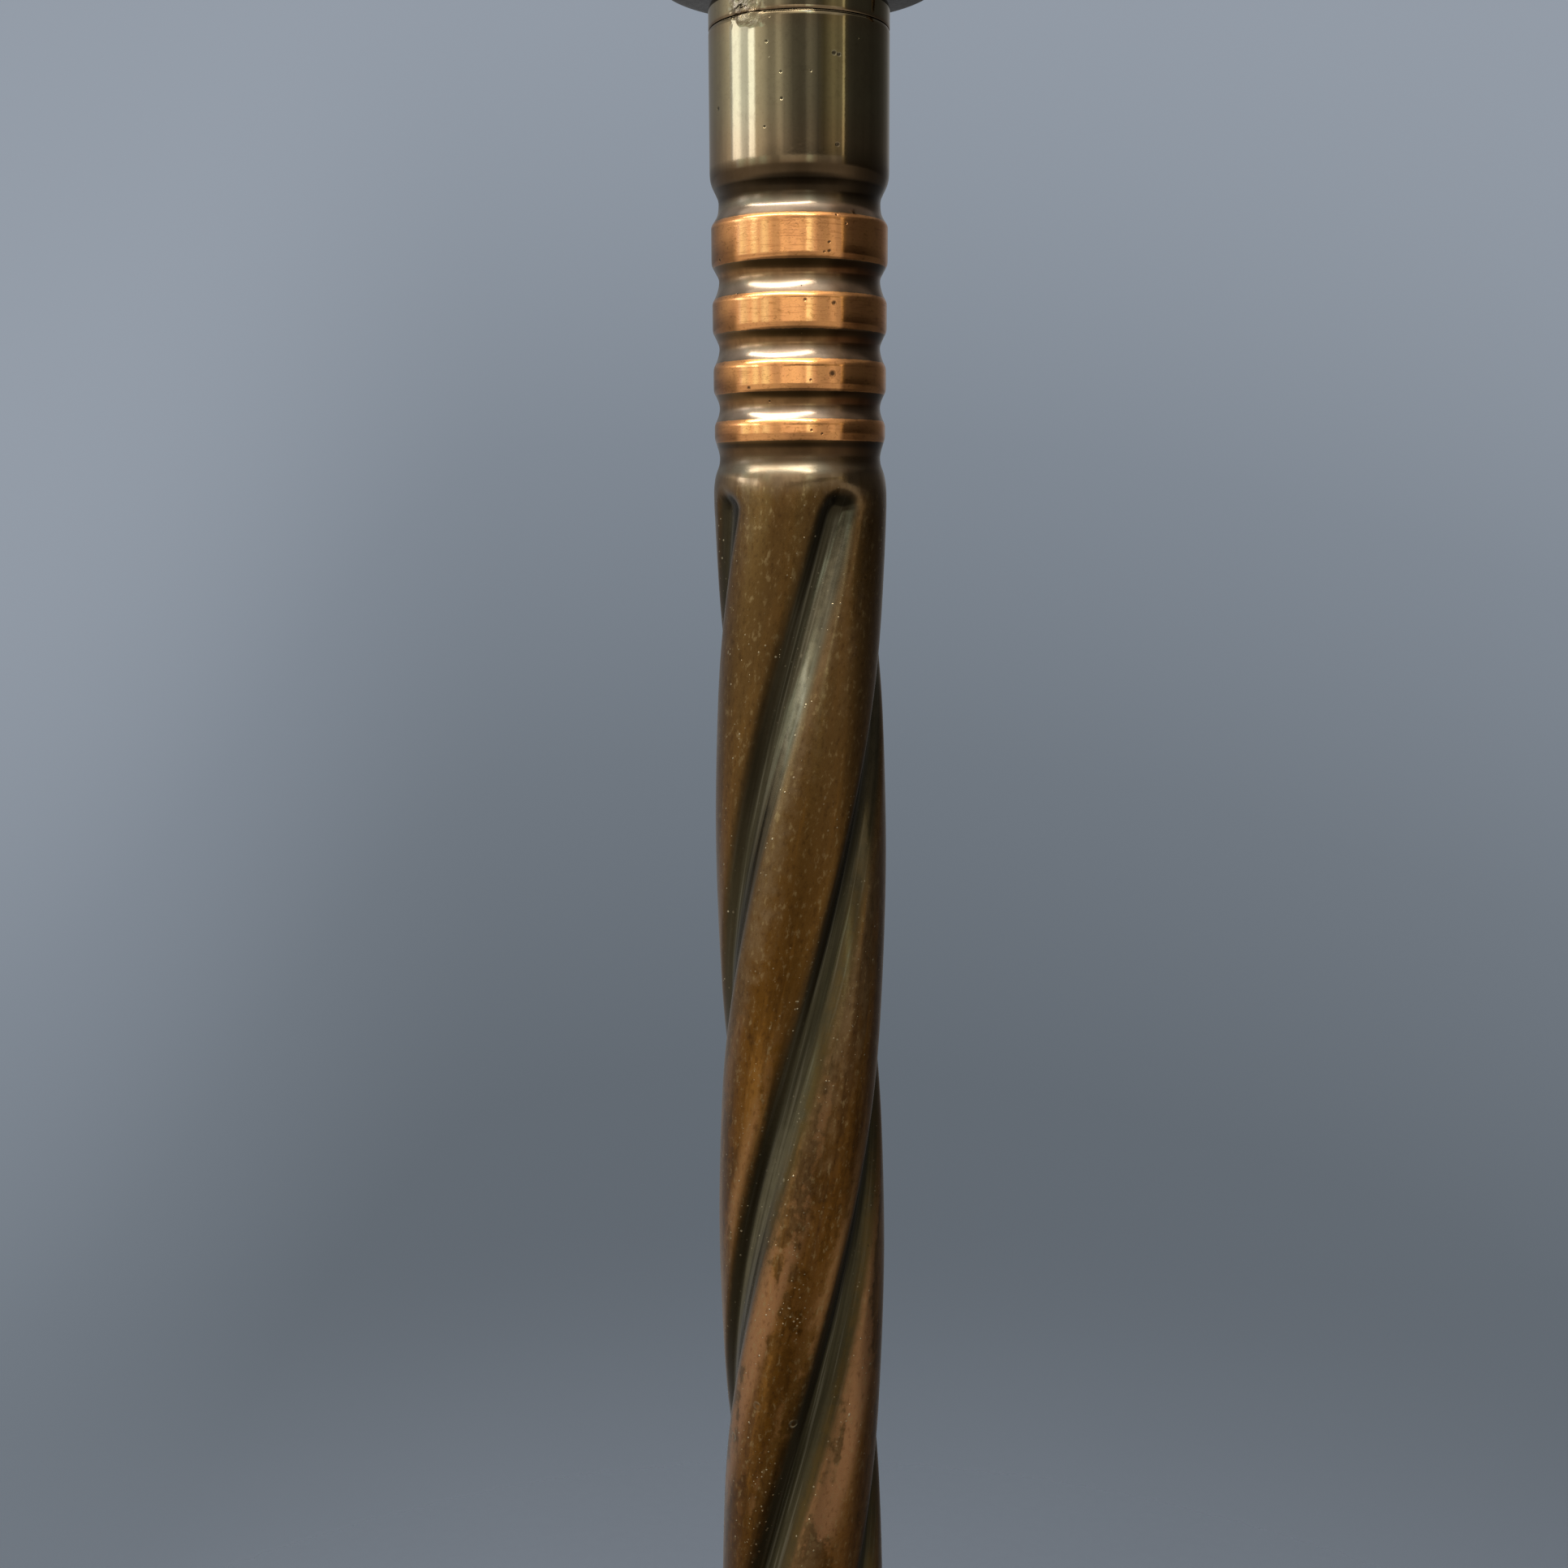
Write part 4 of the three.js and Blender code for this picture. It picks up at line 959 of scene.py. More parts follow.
def spin_attr(obj, squeeze=0.05):
    """Coordinates for marks that run round the axis, as a polishing wheel leaves them: (distance from axis, angle squeezed, height)."""
    me = obj.data
    co = np.zeros(len(me.vertices) * 3, np.float32)
    me.vertices.foreach_get("co", co)
    co = co.reshape(-1, 3)
    r = np.hypot(co[:, 0], co[:, 1])
    a = np.arctan2(co[:, 1], co[:, 0])
    # a loop in two dimensions keeps the marks whole where the angle starts again
    give_vector(me, "spin", np.stack([r + 0.003 * squeeze * np.cos(a), co[:, 2] + 0.003 * squeeze * np.sin(a), r * 0.5 + co[:, 2]], -1))


def outline_marks(outline, reach=1.6):
    """For a closed outline: how far each point stands proud of, or lies in from, its surroundings, as wear and hollow."""
    p = np.array(outline, float)
    n = len(p)
    seg = np.linalg.norm(np.roll(p, -1, 0) - p, axis=1)
    s = np.concatenate([[0], np.cumsum(seg)])
    total = s[-1]

    def at(t):
        t = t % total
        return np.array([np.interp(t, s, np.append(p[:, 0], p[0, 0])), np.interp(t, s, np.append(p[:, 1], p[0, 1]))])

    area = 0.5 * np.sum(p[:, 0] * np.roll(p[:, 1], -1) - np.roll(p[:, 0], -1) * p[:, 1])
    sign = 1.0 if area > 0 else -1.0
    wear, hollow = np.zeros(n), np.zeros(n)
    for k in range(n):
        a, b, c = at(s[k] - reach), p[k], at(s[k] + reach)
        u, v = b - a, c - b
        cross = sign * (u[0] * v[1] - u[1] * v[0]) / max(1e-9, np.linalg.norm(u) * np.linalg.norm(v))
        bend = math.degrees(math.asin(max(-1, min(1, cross))))
        wear[k] = float(ease((bend - 14) / 40))
        hollow[k] = float(ease((-bend - 10) / 40))
    return {"wear": wear, "hollow": hollow}


# ------------------------------------------------------------------------------------------------------------------
# Top sleeve, neck nut
# ------------------------------------------------------------------------------------------------------------------
def make_tube_cap():
    outline = [(5.3, 336.0), (10.8, 336.0), (10.8, 344.62), (12.38, 344.62), (12.46, 344.65), (12.5, 344.76)]
    outline += [(12.5, z) for z in np.linspace(345.15, 347.2, 12)]
    outline += [(12.46, 347.55), (12.33, 347.95), (12.1, 348.27), (11.75, 348.5), (11.3, 348.6), (5.3, 348.6)]
    pr = np.array(outline)
    cols = 240
    a = np.arange(cols) * 2 * math.pi / cols
    R = np.repeat(pr[:, :1], cols, 1)
    Z = np.repeat(pr[:, 1:2], cols, 1)
    A = np.repeat(a[None, :], len(pr), 0)
    phi = (np.degrees(A) + 90.0 + 180.0) % 360.0 - 180.0
    lump = blob_height(phi, Z) * (R > 11.9)
    for i, j in np.argwhere(lump > 0.01):
        p = Vector((R[i, j] * math.cos(A[i, j]), R[i, j] * math.sin(A[i, j]), Z[i, j]))
        R[i, j] += lump[i, j] * rough_lump(p)
    R += (R > 12.2) * (0.006 * np.sin(3 * A + 1.0) + 0.004 * np.sin(7 * A))
    brown = np.where(Z < 345.0, 1.0, 0.35 * ease((345.6 - Z) / 0.6))
    # the face under the rim: patina, darkened further as painted shade
    under = ((R < 12.35) & (Z < 344.9)).astype(float)
    return loop_grid("top_sleeve", R * np.cos(A), R * np.sin(A), Z, {"lump": np.clip(lump, 0, 1), "brown": brown, "under": under}, sharp=46.0)


piece(make_tube_cap(), "lamp", "rubbed_copper", "tube_cap")


def hexagon(across, inner, low, high, name, turn_deg=0.0, chamfer=0.55, segs=96):
    """A nut: a turned ring with chamfered ends, cut to six flats."""
    big = across / math.cos(math.pi / 6) / 2
    flat = across / 2
    outline = [(inner + 0.35, low), (flat - 0.15, low), (big, low + chamfer), (big, high - chamfer), (flat - 0.15, high), (inner + 0.35, high), (inner, high - 0.35), (inner, low + 0.35)]

    def six(r, z, a):
        local = (a - math.radians(turn_deg) + math.pi / 6) % (math.pi / 3) - math.pi / 6
        return np.where(r > flat - 0.2, np.minimum(r, flat / np.cos(local)), r)

    return turn(name, refine(outline, 0.5), segs, six, sharp=26.0)


piece(hexagon(15.0, 5.4, 348.75, 350.45, "neck_nut", 0.0, 0.35), "lamp", "plain_brass", "clamp_nut")

# ------------------------------------------------------------------------------------------------------------------
# Lampholder
# ------------------------------------------------------------------------------------------------------------------
def ribs(count, depth, low, high, above, soft=0.8):
    def change(r, z, a):
        inside = ease((z - low) / soft) * ease((high - z) / soft) * (r > above)
        return r - depth * inside * (0.5 + 0.5 * np.cos(count * a)) ** 1.5

    return change


cap_outline = refine(
    fillets([
        (5.4, 350.6, 0.3), (19.4, 350.6, 0.55), (19.4, 364.6), (19.4, 364.9), (19.1, 365.4, 0.3), (19.4, 365.9),
        (19.4, 374.2, 0.3), (18.7, 375.0, 0.4), (17.6, 375.0, 0.2), (17.6, 353.9, 0.8), (5.4, 353.9, 0.3),
    ], 4), 0.75,
)
holder_cap = turn("lampholder_body", cap_outline, 288, ribs(60, 0.45, 366.2, 373.6, 18.6), sharp=40.0)
boss = turn("boss", fillets([(0.0, 18.2), (6.2, 18.2), (5.7, 19.4, 0.6), (5.3, 20.4, 0.6), (5.2, 22.2, 0.4), (4.8, 22.6, 0.2), (0.0, 22.6)], 4), 64, axis="X", centre=(0, 0, 358.6))
take_shape(holder_cap, boss, "UNION")
bore = turn("bore", [(0.0, 13.0), (3.3, 13.0), (3.3, 24.0), (0.0, 24.0)], 48, axis="X", centre=(0, 0, 358.6))
take_shape(holder_cap, bore, "DIFFERENCE")
piece(holder_cap, "lamp", "black_phenolic", "lampholder_cap")


def helix(pitch, depth, low, high, above, below=1e9, soft=1.2, hand=1.0, power=1.0):
    """A screw thread: the radius goes up and down along a helix."""

    def change(r, z, a):
        inside = ease((z - low) / soft) * ease((high - z) / soft) * (r > above) * (r < below)
        w = 0.5 + 0.5 * np.cos(2 * math.pi * (z / pitch - hand * a / (2 * math.pi)))
        return r - depth * inside * (1 - w**power)

    return change


skirt_outline = refine(
    fillets([
        (14.8, 369.6, 0.2), (17.3, 369.6, 0.3), (17.3, 375.3), (22.2, 375.3, 0.3), (22.7, 375.8, 0.2), (22.7, 376.7, 0.2), (22.2, 377.2, 0.3), (18.7, 377.2, 0.4),
        (18.7, 402.9), (18.2, 403.7, 0.4), (17.4, 404.0, 0.3), (14.6, 404.0, 0.3), (14.0, 403.5, 0.3), (14.0, 402.6, 0.2), (14.8, 402.4, 0.2),
    ], 4), 0.34,
)
skirt_thread = helix(2.6, 0.75, 379.0, 402.6, 18.0, 19.2)
skirt_knurl = ribs(90, 0.3, 375.6, 376.9, 22.0, 0.25)
holder_skirt = turn("lampholder_skirt_threaded", skirt_outline, 216, lambda r, z, a: skirt_knurl(skirt_thread(r, z, a), z, a), sharp=44.0)
piece(holder_skirt, "lamp", "black_phenolic", "lampholder_skirt")

# rolled brass liner: the thread shows on both of its faces
liner_outline = refine([(11.6, 377.3), (14.2, 377.3), (14.4, 377.6), (14.4, 402.2), (13.75, 402.2), (13.75, 378.0), (11.6, 378.0)], 0.34)


def liner_thread(r, z, a):
    inside = ease((z - 379.4) / 1.6) * ease((401.6 - z) / 1.2) * (r > 13.0)
    w = 0.5 + 0.5 * np.cos(2 * math.pi * (z / 3.63 - a / (2 * math.pi)))
    return r - 0.85 * inside * (1 - w**0.8)


piece(turn("screw_liner", liner_outline, 144, liner_thread, sharp=44.0), "lamp", "plain_brass", "screw_shell")

ring_outline = refine(
    fillets([
        (19.7, 377.5, 0.35), (25.4, 377.5, 0.5), (27.6, 378.2, 0.6), (27.6, 381.0, 0.5), (25.8, 381.8, 0.5), (23.3, 382.2, 0.7), (22.4, 384.9, 0.4),
        (21.8, 385.4, 0.3), (19.7, 385.4, 0.35),
    ], 4), 0.45,
)
piece(turn("shade_ring_nut", ring_outline, 336, ribs(56, 0.62, 377.95, 381.35, 26.2, 0.5), sharp=44.0), "shade_nut", "black_phenolic", "shade_ring")

block = turn("terminal_insert", refine(fillets([(0.0, 364.0), (16.9, 364.0, 0.4), (16.9, 369.2, 0.4), (14.2, 369.2, 0.4), (14.2, 376.2, 0.6), (0.0, 376.2)], 4), 1.2), 96, sharp=40.0)
for y in (-8.5, 8.5):
    cut = turn("cut", [(0.0, 363.0), (1.55, 363.0), (1.55, 367.0), (0.0, 367.0)], 32, centre=(-8.5, y, 0))
    take_shape(block, cut, "DIFFERENCE")
piece(block, "lamp", "steatite", "terminal_block")


def make_centre_contact():
    """A springy strip, bent up in its middle."""
    path = [(-8.0, 376.7), (-5.6, 376.7), (-4.6, 377.1), (-3.2, 379.1), (-2.3, 379.9), (0.0, 380.1), (2.3, 379.9), (3.2, 379.1), (4.6, 377.1), (5.6, 376.7), (8.0, 376.7)]
    t = np.linspace(0, len(path) - 1, 61)
    xs = blur(np.interp(t, np.arange(len(path)), [p[0] for p in path]), 0.1, 0.14)
    zs = blur(np.interp(t, np.arange(len(path)), [p[1] for p in path]), 0.1, 0.14)
    dx, dz = np.gradient(xs), np.gradient(zs)
    ln = np.hypot(dx, dz)
    nx, nz = -dz / ln, dx / ln
    upper = [(xs[k] + nx[k] * 0.28, zs[k] + nz[k] * 0.28) for k in range(len(xs))]
    lower = [(xs[k] - nx[k] * 0.28, zs[k] - nz[k] * 0.28) for k in range(len(xs))]
    return soften(slab("centre_spring", upper + lower[::-1], -3.0, 3.0, "XZ"), 0.12, 2, 50)


piece(make_centre_contact(), "lamp", "plain_brass", "centre_contact")


def rounded_rect(w, h, r, steps=6, centre=(0.0, 0.0)):
    out = []
    for cx, cy, a0 in ((w / 2 - r, h / 2 - r, 0), (-w / 2 + r, h / 2 - r, 90), (-w / 2 + r, -h / 2 + r, 180), (w / 2 - r, -h / 2 + r, 270)):
        for t in np.linspace(0, 90, steps + 1):
            out.append((centre[0] + cx + r * math.cos(math.radians(a0 + t)), centre[1] + cy + r * math.sin(math.radians(a0 + t))))
    return out


piece(soften(slab("side_spring", rounded_rect(5.2, 4.0, 0.9, 6, (0, 10.6)), 376.4, 377.0, "XY"), 0.12, 2, 50), "lamp", "plain_brass", "side_contact")

# ------------------------------------------------------------------------------------------------------------------
# Turn switch
# ------------------------------------------------------------------------------------------------------------------
SWITCH_Z = 358.6
bush_thread = helix(0.75, 0.22, 15.2, 22.6, 2.8, 3.2, 0.4)
bush = turn(
    "switch_collar",
    refine(fillets([(2.2, 14.8, 0.15), (3.0, 14.8, 0.15), (3.0, 22.9), (4.6, 22.9, 0.2), (4.6, 24.0, 0.4), (4.0, 24.4, 0.3), (2.2, 24.4, 0.2)], 3), 0.16),
    64, lambda r, z, a: np.where(r > 4.2, r - 0.16 * (0.5 + 0.5 * np.cos(32 * a)), bush_thread(r, z, a)), axis="X", centre=(0, 0, SWITCH_Z), sharp=44.0,
)
piece(bush, "lamp", "plain_brass", "switch_bush")
spindle = turn("switch_shaft", refine(fillets([(0.0, 9.4), (1.8, 9.4, 0.3), (1.8, 31.0, 0.3), (0.0, 31.0)], 3), 1.0), 48, axis="X", centre=(0, 0, SWITCH_Z), sharp=44.0)
piece(spindle, "switch", "plain_brass", "switch_spindle")


def curve(points, steps):
    """A cubic Bezier through groups of three further points."""
    out = [points[0]]
    for k in range(1, len(points), 3):
        p0, p1, p2, p3 = (np.array(p, float) for p in (points[k - 1], points[k], points[k + 1], points[k + 2]))
        for t in np.linspace(0, 1, steps + 1)[1:]:
            out.append(tuple((1 - t) ** 3 * p0 + 3 * t * (1 - t) ** 2 * p1 + 3 * t * t * (1 - t) * p2 + t**3 * p3))
    return out


def mark_by_shape(obj, gain=2.2):
    """Wear where a body stands proud and dirt where it lies in, from how its faces bend."""
    me = obj.data
    bm = bmesh.new()
    bm.from_mesh(me)
    bm.normal_update()
    bend = np.zeros(len(bm.verts))
    for v in bm.verts:
        if v.link_edges:
            bend[v.index] = sum(-v.normal.dot((e.other_vert(v).co - v.co).normalized()) for e in v.link_edges) / len(v.link_edges)
    bm.free()
    for name in ("wear", "hollow"):
        if name in me.attributes:
            me.attributes.remove(me.attributes[name])
    give(me, "wear", np.clip(bend * gain, 0, 1))
    give(me, "hollow", np.clip(-bend * gain, 0, 1))


def make_key():
    half = curve([(29.6, -2.4), (31.5, -3.0), (32.6, -6.4), (35.6, -6.55), (39.6, -6.55), (41.35, -3.4), (41.35, 0.0)], 14)
    full = half + [(x, -z) for x, z in half[::-1][1:]]
    o = slab("switch_wing", [(x, z + SWITCH_Z) for x, z in full], -1.4, 1.4, "XZ")
    soften(o, 0.75, 4, 50)
    hub = turn(
        "hub", refine(fillets([(0.0, 25.05), (3.2, 25.05, 0.3), (3.4, 25.6, 0.3), (3.4, 26.8, 0.2), (3.0, 27.1, 0.2), (3.0, 27.6, 0.2), (3.35, 28.0, 0.2), (3.0, 31.0, 0.8), (2.0, 32.0, 0.6), (0.0, 32.1)], 4), 0.5),
        64, axis="X", centre=(0, 0, SWITCH_Z),
    )
    take_shape(o, hub, "UNION")
    hole = turn("hole", [(0.0, 24.0), (2.0, 24.0), (2.0, 31.4), (0.0, 31.4)], 48, axis="X", centre=(0, 0, SWITCH_Z))
    take_shape(o, hole, "DIFFERENCE")
    mark_by_shape(o)
    spin_attr(o)
    return o


piece(make_key(), "switch", "patinated_bronze", "switch_key")

cam = soften(slab("switch_cam_block", rounded_rect(5.0, 5.0, 0.7, 6, (0.0, SWITCH_Z)), 10.2, 13.8, "YZ"), 0.2, 2, 50)
take_shape(cam, turn("hole", [(0.0, 9.0), (2.1, 9.0), (2.1, 15.0), (0.0, 15.0)], 40, axis="X", centre=(0, 0, SWITCH_Z)), "DIFFERENCE")
piece(cam, "switch", "steatite", "switch_cam")
leaf = slab("switch_leaf_spring", rounded_rect(3.6, 8.3, 0.8, 6, (12.0, 359.55)), 4.6, 5.1, "XZ")
piece(soften(leaf, 0.1, 2, 50), "lamp", "plain_brass", "switch_leaf")

# ------------------------------------------------------------------------------------------------------------------
# Foot
# ------------------------------------------------------------------------------------------------------------------
def arc(cr, cz, rad, start, end, steps):
    return [(cr + rad * math.cos(math.radians(t)), cz + rad * math.sin(math.radians(t))) for t in np.linspace(start, end, steps + 1)]


def flowing(points, steps):
    """A smooth curve through the points."""
    p = [np.array(q, float) for q in points]
    p = [2 * p[0] - p[1], *p, 2 * p[-1] - p[-2]]
    out = []
    for k in range(1, len(p) - 2):
        for t in np.linspace(0, 1, steps, endpoint=False):
            out.append(tuple(0.5 * (2 * p[k] + (p[k + 1] - p[k - 1]) * t + (2 * p[k - 1] - 5 * p[k] + 4 * p[k + 1] - p[k + 2]) * t * t + (3 * p[k] - p[k - 1] - 3 * p[k + 1] + p[k + 2]) * t**3)))
    out.append(tuple(p[-2]))
    return out


shell_outer = (
    [(78.9, 1.0), (79.6, 1.15), (80.0, 1.6), (80.0, 13.2)]
    + arc(76.6, 13.2, 3.4, 8, 74, 9)
    + [(76.9, 16.7), (76.45, 16.85)]
    + arc(74.3, 19.2, 1.85, -46, 98, 14)
    + [(73.6, 21.15)]
    + flowing([(73.0, 21.35), (70.0, 22.5), (62.0, 25.6), (52.0, 29.0), (46.4, 30.5)], 9)
    + [(45.75, 30.85)]
    + arc(43.3, 33.0, 1.7, -48, 104, 13)
    + [(42.35, 34.85)]
    + flowing([(41.6, 35.15), (36.0, 37.2), (30.0, 41.0), (26.4, 45.6), (24.7, 49.0)], 9)
    + [(24.2, 49.9), (23.6, 50.6), (22.8, 51.0), (5.6, 51.0)]
)
shell_inner = [
    (5.6, 49.6), (22.0, 49.6), (25.0, 44.8), (29.0, 39.9), (35.3, 35.9), (41.6, 32.9), (43.0, 30.6), (51.5, 27.6), (61.4, 24.2),
    (72.9, 19.9), (74.2, 17.2), (78.3, 14.3), (78.5, 13.0), (78.5, 1.0),
]
shell_outline = refine(shell_outer + shell_inner, 1.6)
shell = turn("foot_shell", shell_outline, 240, attrs=outline_marks(shell_outline, 1.5), sharp=44.0)
take_shape(shell, turn("inlet", [(0.0, 70.0), (4.9, 70.0), (4.9, 90.0), (0.0, 90.0)], 48, axis="Y", centre=(0, 0, 9.4)), "DIFFERENCE")
spin_attr(shell)
piece(shell, "lamp", "patinated_bronze", "base_shell")

ferrule_outline = refine(
    [(5.6, 51.2), (20.3, 51.2)]
    + arc(19.7, 53.15, 1.95, -66, 82, 13)
    + [(19.55, 55.3), (19.0, 55.75)]
    + flowing([(18.4, 56.2), (17.2, 58.2), (16.3, 62.0), (15.6, 66.4), (15.35, 68.3)], 8)
    + [(15.35, 68.8)]
    + arc(14.95, 71.0, 1.95, -62, 72, 13)
    + [(15.2, 73.15), (14.7, 73.4)]
    + arc(13.75, 73.55, 0.85, 5, 90, 6)
    + [(13.1, 74.4), (12.85, 74.15), (12.85, 56.0), (5.6, 56.0)],
    0.9,
)
ferrule = turn("stem_ferrule", ferrule_outline, 160, attrs=outline_marks(ferrule_outline, 1.1), sharp=46.0)
spin_attr(ferrule)
piece(ferrule, "lamp", "patinated_bronze", "foot_ferrule")

grommet = turn(
    "inlet_grommet",
    refine(fillets([(2.7, 74.4, 0.3), (5.8, 74.4, 0.4), (5.8, 77.0, 0.3), (4.6, 77.0, 0.2), (4.6, 79.7, 0.5), (2.7, 79.7, 0.7)], 5), 0.5),
    72, axis="Y", centre=(0, 0, 9.4), sharp=50.0,
)
piece(grommet, "lamp", "black_rubber", "cord_grommet")

SCREWS = [(52 * math.cos(math.radians(a)), 52 * math.sin(math.radians(a))) for a in (150, 270, 390)]


def felt_edge(r, z, a):
    return r + (r > 74.5) * (0.10 * np.sin(61 * a + 2 * z) + 0.08 * np.sin(97 * a) + 0.06 * np.sin(151 * a + z))


felt = turn("felt_disc", refine(fillets([(0.0, 0.0), (75.9, 0.0, 0.7), (75.9, 2.0, 0.4), (0.0, 2.0)], 4), 6.0), 240, felt_edge, sharp=40.0)
plate = turn("closing_plate", refine(fillets([(0.0, 2.1), (77.0, 2.1, 0.3), (77.0, 3.3, 0.3), (0.0, 3.3)], 3), 7.0), 192, sharp=40.0)
weight = turn(
    "iron_weight",
    refine(fillets([(5.6, 14.0), (16.0, 14.0, 1.0), (16.0, 3.6, 0.6), (70.0, 3.6, 1.2), (70.0, 16.0, 2.0), (67.0, 18.5), (58.0, 22.6, 3.0), (42.0, 27.2, 4.0), (26.0, 36.5, 4.0), (19.0, 42.0, 3.0), (17.0, 49.4, 1.0), (5.6, 49.4)], 4), 3.0),
    120, sharp=40.0,
)
channel = slab("channel", [(-4.5, 0.0), (4.5, 0.0), (4.5, 12.5), (-4.5, 12.5)], 10.0, 75.0, "XZ")
take_shape(weight, channel, "DIFFERENCE")
for x, y in SCREWS:
    take_shape(weight, turn("hole", [(0.0, 0.0), (2.0, 0.0), (2.0, 13.0), (0.0, 13.0)], 32, centre=(x, y, 0)), "DIFFERENCE")
    take_shape(plate, turn("hole", [(0.0, 0.0), (2.2, 0.0), (2.2, 5.0), (0.0, 5.0)], 32, centre=(x, y, 0)), "DIFFERENCE")
    take_shape(felt, turn("hole", [(0.0, -1.0), (4.4, -1.0), (4.4, 4.0), (0.0, 4.0)], 48, centre=(x, y, 0)), "DIFFERENCE")
piece(felt, "lamp", "green_felt", "felt_pad")
piece(plate, "lamp", "zinc_steel", "bottom_plate")
piece(weight, "lamp", "cast_iron", "base_weight")

for k, (x, y) in enumerate(SCREWS):
    body = helix(0.9, 0.32, 2.6, 10.6, 1.3, 1.9, 0.4)
    screw = turn(
        f"closing_screw_{k + 1}",
        refine(fillets([(0.0, 0.55), (2.2, 0.55, 0.3), (3.6, 1.2, 0.4), (3.6, 1.9, 0.15), (1.7, 1.9), (1.7, 10.2), (1.1, 11.0, 0.2), (0.0, 11.0)], 4), 0.22),
        48, body, centre=(x, y, 0), sharp=44.0,
    )
    slot_cut = slab("slot", [(x - 4.0, y - 0.45), (x + 4.0, y - 0.45), (x + 4.0, y + 0.45), (x - 4.0, y + 0.45)], -0.5, 1.15, "XY")
    take_shape(screw, slot_cut, "DIFFERENCE")
    piece(screw, "lamp", "zinc_steel", f"plate_screw_{k + 1}")

# ------------------------------------------------------------------------------------------------------------------
# What ties the lamp together, out of sight
# ------------------------------------------------------------------------------------------------------------------
rod_outer = [(5.0, z) for z in np.arange(4.6, 18.0, 0.2)] + [(5.0, z) for z in np.linspace(18.0, 346.0, 30)] + [(5.0, z) for z in np.arange(346.2, 356.9, 0.2)]
rod_outline = [(3.2, 4.2), (4.6, 4.2)] + rod_outer + [(4.6, 357.2), (3.2, 357.2)]
low_thread = helix(1.0, 0.45, 4.4, 18.0, 4.9, soft=0.8)
high_thread = helix(1.0, 0.45, 346.0, 357.0, 4.9, soft=0.8)
piece(turn("tie_rod", rod_outline, 48, lambda r, z, a: np.minimum(low_thread(r, z, a), high_thread(r, z, a)), sharp=50.0), "lamp", "zinc_steel", "threaded_rod")
piece(turn("centring_bush", refine(fillets([(5.3, 56.3, 0.3), (10.6, 56.3, 0.5), (10.6, 64.0, 0.8), (5.3, 64.0, 0.4)], 4), 1.2), 96, sharp=42.0), "lamp", "black_phenolic", "lower_bush")
piece(hexagon(14.0, 5.2, 354.1, 356.8, "inner_nut", 12.0, 0.5), "lamp", "zinc_steel", "entry_nut")
piece(hexagon(17.0, 5.2, 5.0, 11.05, "foot_nut", 5.0, 0.9), "lamp", "zinc_steel", "base_nut")
piece(turn("foot_washer", refine(fillets([(5.4, 12.4, 0.15), (14.0, 12.4, 0.25), (14.0, 13.85, 0.35), (5.4, 13.85, 0.2)], 3), 1.0), 96, sharp=42.0), "lamp", "zinc_steel", "base_washer")


def toothed(r, z, a):
    return np.where(r > 8.4, r - 0.9 * (0.5 + 0.5 * np.cos(14 * a)) ** 2, r)


piece(turn("toothed_washer", refine([(5.4, 11.2), (9.2, 11.2), (9.2, 12.3), (5.4, 12.3)], 0.5), 168, toothed, sharp=42.0), "lamp", "zinc_steel", "base_lock_washer")
for k, y in enumerate((8.5, -8.5)):
    terminal = turn(
        f"terminal_stud_{k + 1}",
        refine(fillets([(0.0, 361.25), (2.4, 361.25, 0.3), (2.8, 361.7, 0.2), (2.8, 363.7, 0.2), (1.4, 363.7), (1.4, 369.7, 0.3), (0.0, 369.9)], 3), 0.25),
        40, helix(0.8, 0.25, 363.9, 369.6, 1.1, 1.6, 0.4), centre=(-8.5, y, 0), sharp=44.0,
    )
    cut = slab("slot", [(-12.5, y - 0.4), (-4.5, y - 0.4), (-4.5, y + 0.4), (-12.5, y + 0.4)], 360.0, 362.2, "XY")
    take_shape(terminal, cut, "DIFFERENCE")
    piece(terminal, "lamp", "plain_brass", f"terminal_screw_{k + 1}")

# Any node that has no piece of its own keeps its shape and takes its slot's finish.
slot_of = {}
for m in frame["record"].get("materials", []):
    for n in m.get("nodes", []):
        slot_of[n] = m["slot"]
for name, o in nodes.items():
    if not o.hide_render and slot_of.get(name) in FINISH:
        coat(o, slot_of[name])

